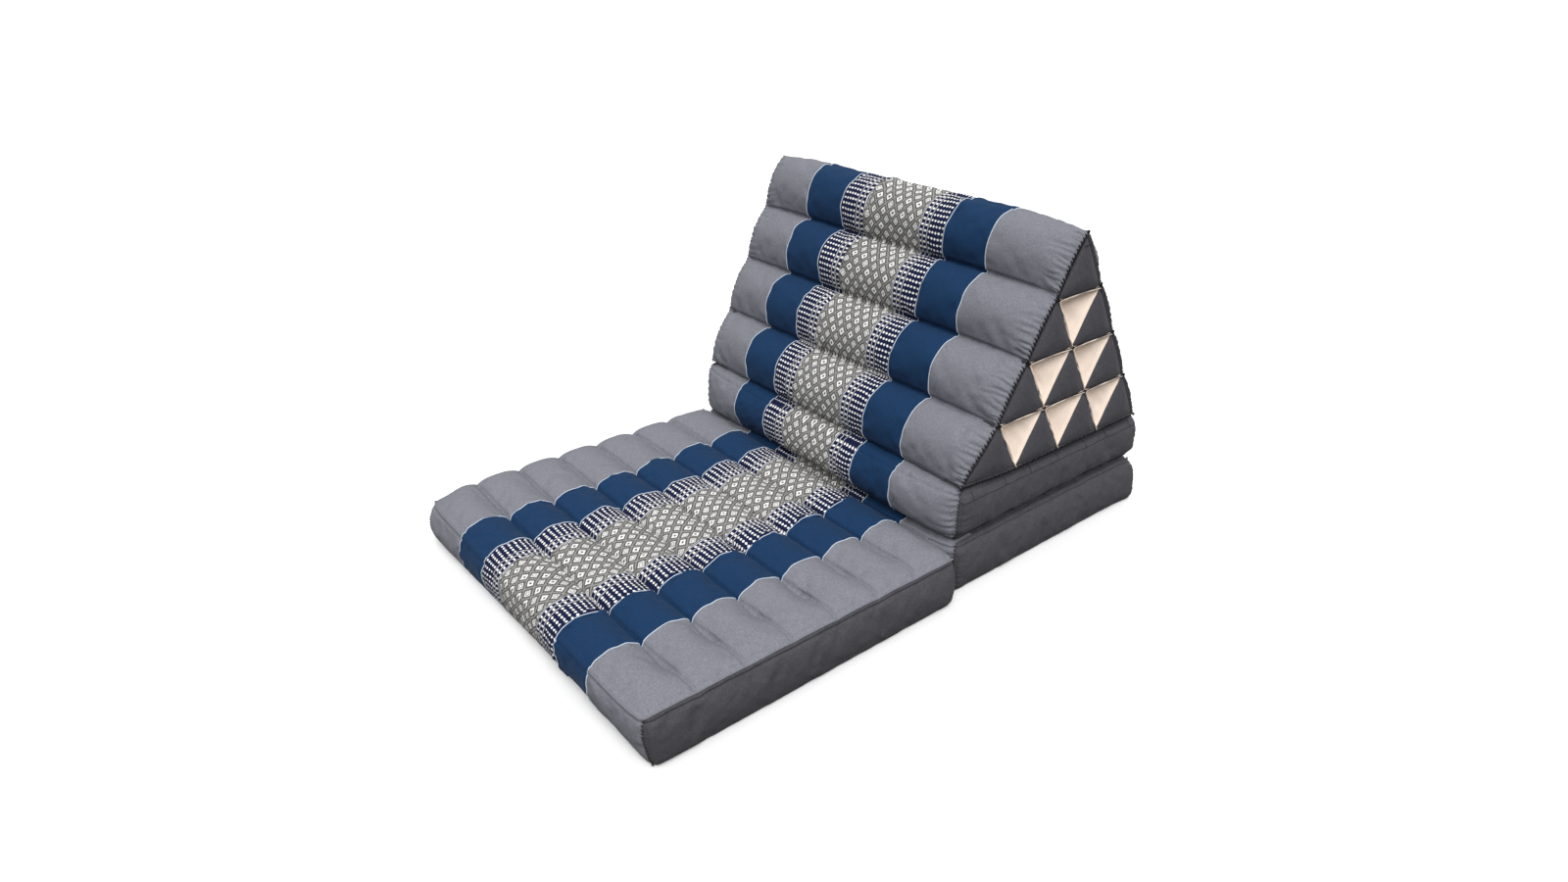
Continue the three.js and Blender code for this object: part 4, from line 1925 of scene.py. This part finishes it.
    def piped(self, column: int) -> Array:
        """Numbers the points under a column's piping, up the front and over the ridge.

        Args:
            column: The number of the column.

        Returns:
            The numbers of the points.
        """
        behind = self.patches[1].rows > 1 - 1 / self.rows - 1e-6
        over = self.shell.index[1][behind, column][::-1]
        return np.concatenate([self.shell.index[0][:, column], over[1:]])

    def whip(self, shop: Workshop) -> bpy.types.Object:
        """Stitches the rolls to the end panels with black thread, knotted at each groove. Along the base the
        stitches lie thick and close, a near-solid black line that is thread and also painted shade for the
        gap under the end panel.

        Args:
            shop: Makes the pieces.

        Returns:
            The stitching.
        """
        rng = np.random.default_rng(self.seed + 900)
        tubes = []
        for number, side in enumerate(Side):
            column = -1 if side is Side.RIGHT else 0
            for panel in (0, 2, 1):
                grid = self.shell.index[panel]
                end = self.shell.index[3 + 3 * number + panel][:, 1]
                whip = Whip(5.0, 1.2, 0.4)
                # Along the base: thick, close stitches, thread and also painted shade for the dark gap under
                # the end panel.
                if panel == 2:
                    whip = Whip(4.4, 2.2, 0.85)
                elif panel == 0 and side is Side.RIGHT:
                    whip = Whip(5.0, 2.5, 0.85)
                beside = grid[:, column - 2 * side.value], end
                tubes += self.whipped(grid[:, column], beside, whip, rng)
        for panel in (0, 1):
            seam = self.shell.index[panel][:, -1]
            for k in range(self.rows + 1):
                place = self.points[seam[round(k * (len(seam) - 1) / self.rows)]]
                tubes.append(knotted(place, Side.RIGHT))
        return shop.strands("bolster_stitching", tubes, shop.thread, "black_thread", sides=5)


@dataclass
class EndPanel:
    """One end of the bolster: filled caps of the inner tubes, with folded cotton pockets between.

    Attributes:
        bolster: The bolster that it closes.
        side: Which end.
        rings: The rings of one cap or pocket.
        steps: The points along one of its sides.
        bow: How far the caps' sides bow out, and the pockets' sides bow in.
        cap_rise: How far a cap stands out of the end seam.
        pocket_depth: How far a pocket's walls fall inwards.
        pocket_power: How steeply they fall beside their edges.
        pocket_weights: How much each of a pocket's corners draws its middle towards itself.
    """

    bolster: Bolster
    side: Side
    rings: int = 14
    steps: int = 14
    bow: float = 1.6
    cap_rise: float = 6.0
    pocket_depth: float = 16.0
    pocket_power: float = 0.9
    pocket_weights: tuple[float, float, float] = (2.4, 1.1, 1.0)

    def lines(self) -> list[Array]:
        """Finds the points that divide the end into small triangles.

        Returns:
            For each row from the apex down, its points as y and z.
        """
        b = self.bolster
        apex, front, back = inset_triangle([b.apex, b.front, b.back], RIM + GAP / 2)
        rows = [np.array([apex])]
        for row in range(1, b.rows + 1):
            run = row / b.rows
            rows.append(between(lerp(apex, front, run), lerp(apex, back, run), np.linspace(0, 1, row + 1)))
        return rows

    def triangle(self, corners: list[Array], bows: tuple[float, ...], out: Array, draw: Array,
                 pinch: float, seed: int, soft: float, weights: tuple[float, ...] = (1, 1, 1)) -> Patch:
        """Shapes one small triangle from rings that shrink to its middle.

        Args:
            corners: Its corners as y and z.
            bows: How far the middle of each side bows outwards.
            out: The height of each ring over the end seam.
            draw: How far each ring is drawn in to the middle, as a share.
            pinch: How far the corners are drawn down.
            seed: Picks its creases.
            soft: The height of its creases.
            weights: How much each corner draws the middle towards itself.

        Returns:
            The patch.
        """
        b = self.bolster
        edges = inset_triangle(corners, GAP / 2)
        middle = np.average(edges, axis=0, weights=weights)
        share = np.linspace(0, 1, self.steps + 1)[:-1]
        loop = []
        for start, stop, bow in zip(edges, edges[1:] + edges[:1], bows):
            way = stop - start
            outward = np.array([way[1], -way[0]]) / np.linalg.norm(way)
            if np.dot(outward, (start + stop) / 2 - middle) < 0:
                outward = -outward
            loop.append(between(start, stop, share) + outward * (bow * np.sin(math.pi * share))[:, None])
        loop = np.concatenate([*loop, loop[0][:1]])
        corner = np.append(np.tile(np.abs(2 * share - 1) ** 5, 3), 1.0)
        flat = lerp(loop[None], middle, draw[:, None, None])
        height = out[:, None] - pinch * corner * np.clip(1 - 1.6 * draw, 0, 1)[:, None]
        folds = ripple(flat[..., 0] + 0.35 * flat[..., 1], flat[..., 1] * 0.4, 15, seed) * soft
        front = (np.arange(len(out)) > 1)[:, None]
        height = height + folds * np.minimum(1, draw * 4)[:, None] * front
        x = b.centre_x + self.side.value * (b.width / 2 + height)
        points = b.lean(np.concatenate([x[..., None], flat], -1))
        still = np.zeros(points.shape[:2])
        rows, columns = (np.arange(count) * 1.0 for count in still.shape)
        return Patch(points, flat, rows, columns, Cloth.GREY.value, still, still, self.turned(edges))

    def turned(self, edges: list[Array]) -> bool:
        """Says whether a patch has to be turned over to face outwards.

        Args:
            edges: Its corners.

        Returns:
            Whether it has to.
        """
        a, b, c = edges
        turn = (b[0] - a[0]) * (c[1] - a[1]) - (c[0] - a[0]) * (b[1] - a[1])
        return (turn > 0) != (self.side is Side.RIGHT)

    def build(self, shop: Workshop) -> int:
        """Makes the caps and pockets of this end.

        Args:
            shop: Makes the pieces.

        Returns:
            The number of pieces.
        """
        lines, last, bow = self.lines(), self.bolster.rows, self.bow
        inner = np.linspace(0, 1, self.rings)
        wall = np.linspace(0.03, 1, self.rings)[1:]
        floor = GAP - WELL
        cap_draw = np.concatenate([[1, 0, 0], inner**1.5 * 0.999, [1]])
        cap_out = [floor, floor, -4, *((self.cap_rise + 1) * dome(inner**1.5, 1.8) - 1), self.cap_rise]
        pocket_draw = np.concatenate([[1, 0, 0, 0.008, 0.022, 0.035], wall**1.1 * 0.999, [1]])
        fall = -0.5 - self.pocket_depth * wall**self.pocket_power
        pocket_out = [floor, floor, -4, 0.4, 0.8, 0.2, *fall, -self.pocket_depth - 0.6]
        made = 0
        for row in range(1, last + 1):
            for i in range(row):
                corners = [lines[row - 1][i], lines[row][i], lines[row][i + 1]]
                bows = (bow * (i > 0), bow * (row < last), bow * (i < row - 1))
                cap = self.triangle(corners, bows, np.array(cap_out), cap_draw, 2.0, 40 * row + i, 0.35)
                self.finish(shop, f"cap_{self.side.name.lower()}_{row}_{i + 1}", cap, "charcoal_cover")
                made += 1
            for i in range(row - 1):
                corners = [lines[row - 1][i], lines[row][i + 1], lines[row - 1][i + 1]]
                pocket = self.triangle(corners, (-bow,) * 3, np.array(pocket_out), pocket_draw, 1.0,
                                       90 * row + i, 1.3, self.pocket_weights)
                self.finish(shop, f"pocket_{self.side.name.lower()}_{row}_{i + 1}", pocket, "undyed_cotton")
                made += 1
        return made + self.edge(shop)

    def edge(self, shop: Workshop) -> int:
        """Sews the caps to the pockets: pale folded edges, a black thread over them and knots. The black
        thread runs unbroken over each pocket's upper edge, where it is also painted shade for the narrow gap
        under the cap.

        Args:
            shop: Makes the pieces.

        Returns:
            The number of pieces.
        """
        b = self.bolster
        rng = np.random.default_rng(700 + self.side.value)
        lines = self.lines()
        share = np.linspace(0, 1, 19)
        pale, black = [], []

        def laid(start: Array, stop: Array, out: Array, sag: float) -> Array:
            """Lays a line over the end panel, sagging at right angles to its run.

            Args:
                start: Its start as y and z.
                stop: Its end as y and z.
                out: How far its points stand out of the end seam.
                sag: How far its middle sags.

            Returns:
                Its points.
            """
            way = (stop - start) / np.linalg.norm(stop - start)
            across = np.array([-way[1], way[0]])
            flat = between(start, stop, share) + across * (sag * np.sin(math.pi * share))[:, None]
            x = b.centre_x + self.side.value * (b.width / 2 + out)
            return b.lean(np.concatenate([x[:, None], flat], 1))

        def waves(size: float) -> Array:
            """Makes small waves that die out at both ends of a line.

            Args:
                size: Their height.

            Returns:
                How far each point moves.
            """
            phase = rng.uniform(0, 2 * math.pi, 2)
            both = np.sin(share * 9 + phase[0]) + 0.6 * np.sin(share * 21 + phase[1])
            return size * np.sin(math.pi * share) * both

        down, inward = np.array([0, -1.4]), np.array([1.3, -0.5])
        for row in range(1, b.rows):
            for i in range(row):
                start, stop, foot = lines[row][i], lines[row][i + 1], lines[row + 1][i + 1]
                pale.append((laid(start + down, stop + down, 1.5 + waves(0.6), 1.3), 1.1))
                # An unbroken black thread over the pocket's upper edge: thread, and painted shade for the
                # narrow gap between cap and pocket.
                black.append((laid(start, stop, 2.2 + waves(0.15), 1.3), 0.62))
                pale.append((laid(start + inward, foot + inward * 0.3, 1.3 + waves(1.2), -1.2), 1.05))
        for place in np.concatenate(lines[1 : b.rows]):
            x = b.centre_x + self.side.value * (b.width / 2 + 1.4)
            black.append(knotted(b.lean(np.array([x, *place])), self.side))
        tuck = [lerp(lines[0][0], corner, 0.16) for corner in lines[1]]
        black.append((laid(*tuck, 2.6 + 0 * share, 0.8), 0.4))
        name = "pocket_" + self.side.name.lower()
        shop.strands(name + "_edges", pale, shop.natural, "undyed_cotton")
        shop.strands(name + "_stitching", black, shop.thread, "black_thread", sides=5)
        return 2

    def finish(self, shop: Workshop, node: str, patch: Patch, slot: str) -> None:
        """Makes one cap or pocket in place of its node.

        Args:
            shop: Makes the pieces.
            node: The CAD node.
            patch: Its shape.
            slot: The record's material slot.
        """
        shell = weld([patch])
        cotton = slot == "undyed_cotton"
        material = shop.natural if cotton else shop.cover[Cloth.CHARCOAL.value]
        piece = shop.piece(node + "_cloth", shell, shell.points, [material], slot)
        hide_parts(node)


@dataclass(frozen=True)
class Studio:
    """A pale floor under soft light, seen from where the photograph was taken.

    Attributes:
        eye: The camera's place in metres.
        azimuth: Its direction round the object, in degrees.
        elevation: Its height above the horizon, in degrees.
        focal: Its focal length in pixels of the photograph.
        photo_width: The photograph's width in pixels.
        sensor: The camera's sensor width, in millimetres.
        key: The brightness that the key light alone gives a white surface.
        key_from: The direction that it comes from.
        key_angle: How wide it looks, in degrees.
        room: The room's height, from 0 straight down to 1 overhead, and its brightness there.
        reach: How far the floor goes, in metres.
    """

    eye: tuple[float, float, float] = (0.8871, -0.7314, 0.7001)
    azimuth: float = 51.129
    elevation: float = 26.813
    focal: float = 973.54
    photo_width: float = 1600.0
    sensor: float = 36.0
    key: float = 0.74
    key_from: tuple[float, float, float] = (0.50, -0.36, 0.79)
    key_angle: float = 38.0
    room: tuple[tuple[float, float], ...] = ((0.47, 0.03), (0.5, 0.20), (0.68, 0.64), (1.0, 1.0))
    reach: float = 30.0

    def aim(self, thing: bpy.types.Object, back: Vector) -> None:
        """Turns a camera or a light away from a direction.

        Args:
            thing: The camera or light.
            back: The direction that it comes from.
        """
        thing.rotation_mode = "QUATERNION"
        thing.rotation_quaternion = (-back).to_track_quat("-Z", "Y")

    def camera(self) -> None:
        """Sets the camera up."""
        data = bpy.data.cameras.new("camera")
        data.sensor_width = self.sensor
        data.lens = self.focal * self.sensor / self.photo_width
        data.clip_start, data.clip_end = 0.05, 100
        camera = show("camera", data)
        turn, tilt = math.radians(self.azimuth), math.radians(self.elevation)
        flat = math.cos(tilt)
        self.aim(camera, Vector((math.sin(turn) * flat, -math.cos(turn) * flat, math.sin(tilt))))
        camera.location = self.eye
        bpy.context.scene.camera = camera

    def sun(self) -> None:
        """Hangs the large soft key light, high in front on the right."""
        data = bpy.data.lights.new("key_light", "SUN")
        data.angle = math.radians(self.key_angle)
        data.energy = self.key * math.pi
        lamp = show("key_light", data)
        self.aim(lamp, Vector(self.key_from))
        lamp.location = Vector(self.key_from) * 3

    def sky(self) -> None:
        """Makes the white room: brightest overhead, dark below the floor."""
        world = bpy.data.worlds.new("studio_world")
        bpy.context.scene.world = world
        n = Nodes(world)
        up = n.add("SeparateXYZ", n.add("TexCoord", out="Generated"), out=2)
        height = n.add("MapRange", up, -1.0, 1.0, 0.0, 1.0)
        stops = [(place, (bright, bright, bright, 1.0)) for place, bright in self.room]
        colour = set_stops(n.add("ValToRGB", height), stops)
        n.add("OutputWorld", n.add("Background", colour))

    def paper(self) -> bpy.types.Material:
        """Makes the floor's matt white paper: bright and even, with the faintest grain.

        Returns:
            The material.
        """
        material = bpy.data.materials.new("matt_white_paper")
        n = Nodes(material)
        grain = n.add("TexNoise", in_Scale=3.0, in_Detail=3.0)
        tone = n.add("MapRange", grain, 0.0, 1.0, 0.96, 0.98)
        colour = n.add("CombineColor", tone, tone, tone)
        surface = n.add("BsdfPrincipled", in_Base_Color=colour, in_Roughness=0.95,
                        in_Specular_IOR_Level=0.1)
        n.add("OutputMaterial", surface)
        return material

    def build(self) -> None:
        """Sets the camera up, lays the floor and hangs the lights."""
        self.camera()
        mesh = bpy.data.meshes.new("studio_floor")
        corners = [(x * self.reach, y * self.reach, 0) for x, y in ((-1, -1), (1, -1), (1, 1), (-1, 1))]
        mesh.from_pydata(corners, [], [(0, 1, 2, 3)])
        mesh.materials.append(self.paper())
        floor = show("studio_floor", mesh)
        floor.visible_diffuse = False
        self.sky()
        self.sun()
        bpy.context.scene.view_settings.view_transform = "Standard"


# The lowest corner of the seat pad's node in the maker's frame.
SEAT_CORNER = (-274.0, -438.0, 0.0)


def pads() -> tuple[Pad, Pad, Pad]:
    """Sizes the pads.

    Returns:
        The seat pad, and the lower and the upper pad of the stack.
    """
    seat = Pad(
        name="seat_pad", centre_x=0, width=530, bands=LOW_BANDS, seed=100,
        front=-424, back=0, low=0, high=64, channels=7, crest=8, groove=5, swell=(5, 6),
        belly=(7, 2), side_belly=9, fine=3.0, back_rise=5, welting=Cloth.GREY, scallops=(1.5, 5.8),
        sags=(
            Sag((-265, 0, 64), (120, 70, 70), (0, 9, 1)),
            Sag((-265, -428, 66), (36, 36, 30), (3, 4, -7)),
            Sag((-268, -430, 28), (60, 40, 28), (-5, -6, -1)),
            Sag((120, -440, 0), (300, 32, 36), (0, 10, 3)),
        ),
    )
    lower = Pad(
        name="lower_pad", centre_x=-6, width=512, bands=LOW_BANDS, seed=200,
        front=25, back=393, low=0, high=68, channels=6, crest=2.9, groove=4, swell=(11, 4),
        belly=(5.5, 7), side_belly=9, pucker=(2.4, 22.0),
        sags=(
            Sag((250, 395, 69), (20, 20, 16), (-3, -5, -4)),
            Sag((250, 396, 8), (34, 30, 22), (3, 5, 0)),
            Sag((254, 210, 69), (14, 260, 7), (-4, 0, -1.5)),
            Sag((-266, 210, 69), (14, 260, 7), (4, 0, -1.5)),
        ),
    )
    upper = Pad(
        name="upper_pad", centre_x=-6, width=512, bands=HIGH_BANDS, seed=300,
        front=25, back=381, low=73.5, high=140.5, channels=6, crest=3.6, groove=3, swell=(5, 4),
        belly=(17, 8), side_belly=8, drop=13, pucker=(3.0, 26.0),
        sags=(
            Sag((-262, 18, 74), (120, 26, 20), (0, -3, -6)),
            Sag((250, 383, 142), (20, 20, 16), (-3, -5, -4)),
            Sag((254, 205, 74), (16, 210, 8), (-8, 0, 1.5)),
            Sag((-266, 205, 74), (16, 210, 8), (8, 0, 1.5)),
            Sag((254, 210, 141), (14, 260, 7), (-4, 0, -2)),
            Sag((-266, 210, 141), (14, 260, 7), (4, 0, -2)),
        ),
    )
    return seat, lower, upper


def main() -> None:
    """Builds the studio, the cushion and its stitching."""
    logging.basicConfig(level=logging.INFO, format="%(message)s")
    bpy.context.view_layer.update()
    Studio().build()
    finishes = Finishes()
    shop = Workshop(Place.from_seat(SEAT_CORNER), finishes.cover(), finishes.natural.make(),
                    finishes.piping.make(), finishes.thread.make())
    seat, lower, upper = pads()
    bolster = Bolster()
    for pad in (seat, lower, upper):
        pad.build(shop)
        pad.pipe(shop)
        pad.welt(shop)
        pad.stitch(shop)
    bolster.build(shop)
    bolster.pipe(shop)
    bolster.whip(shop)
    hinges = (
        (Hinge(Crease.SEAT, LOW_BANDS, 30, ["seat_pad", "lower_pad"], 31), seat, lower),
        (Hinge(Crease.FRONT, HIGH_BANDS, 22, ["upper_pad", "bolster"], 32), upper, bolster),
        (Hinge(Crease.BACK, None, 20, ["lower_pad", "upper_pad"], 33), lower, upper),
    )
    for hinge, first, other in hinges:
        hinge.build(shop, first, other)
    for side in Side:
        count = EndPanel(bolster, side).build(shop)
        LOG.info("end panel %s: %d pieces", side.name.lower(), count)


if __name__ == "__main__":
    main()
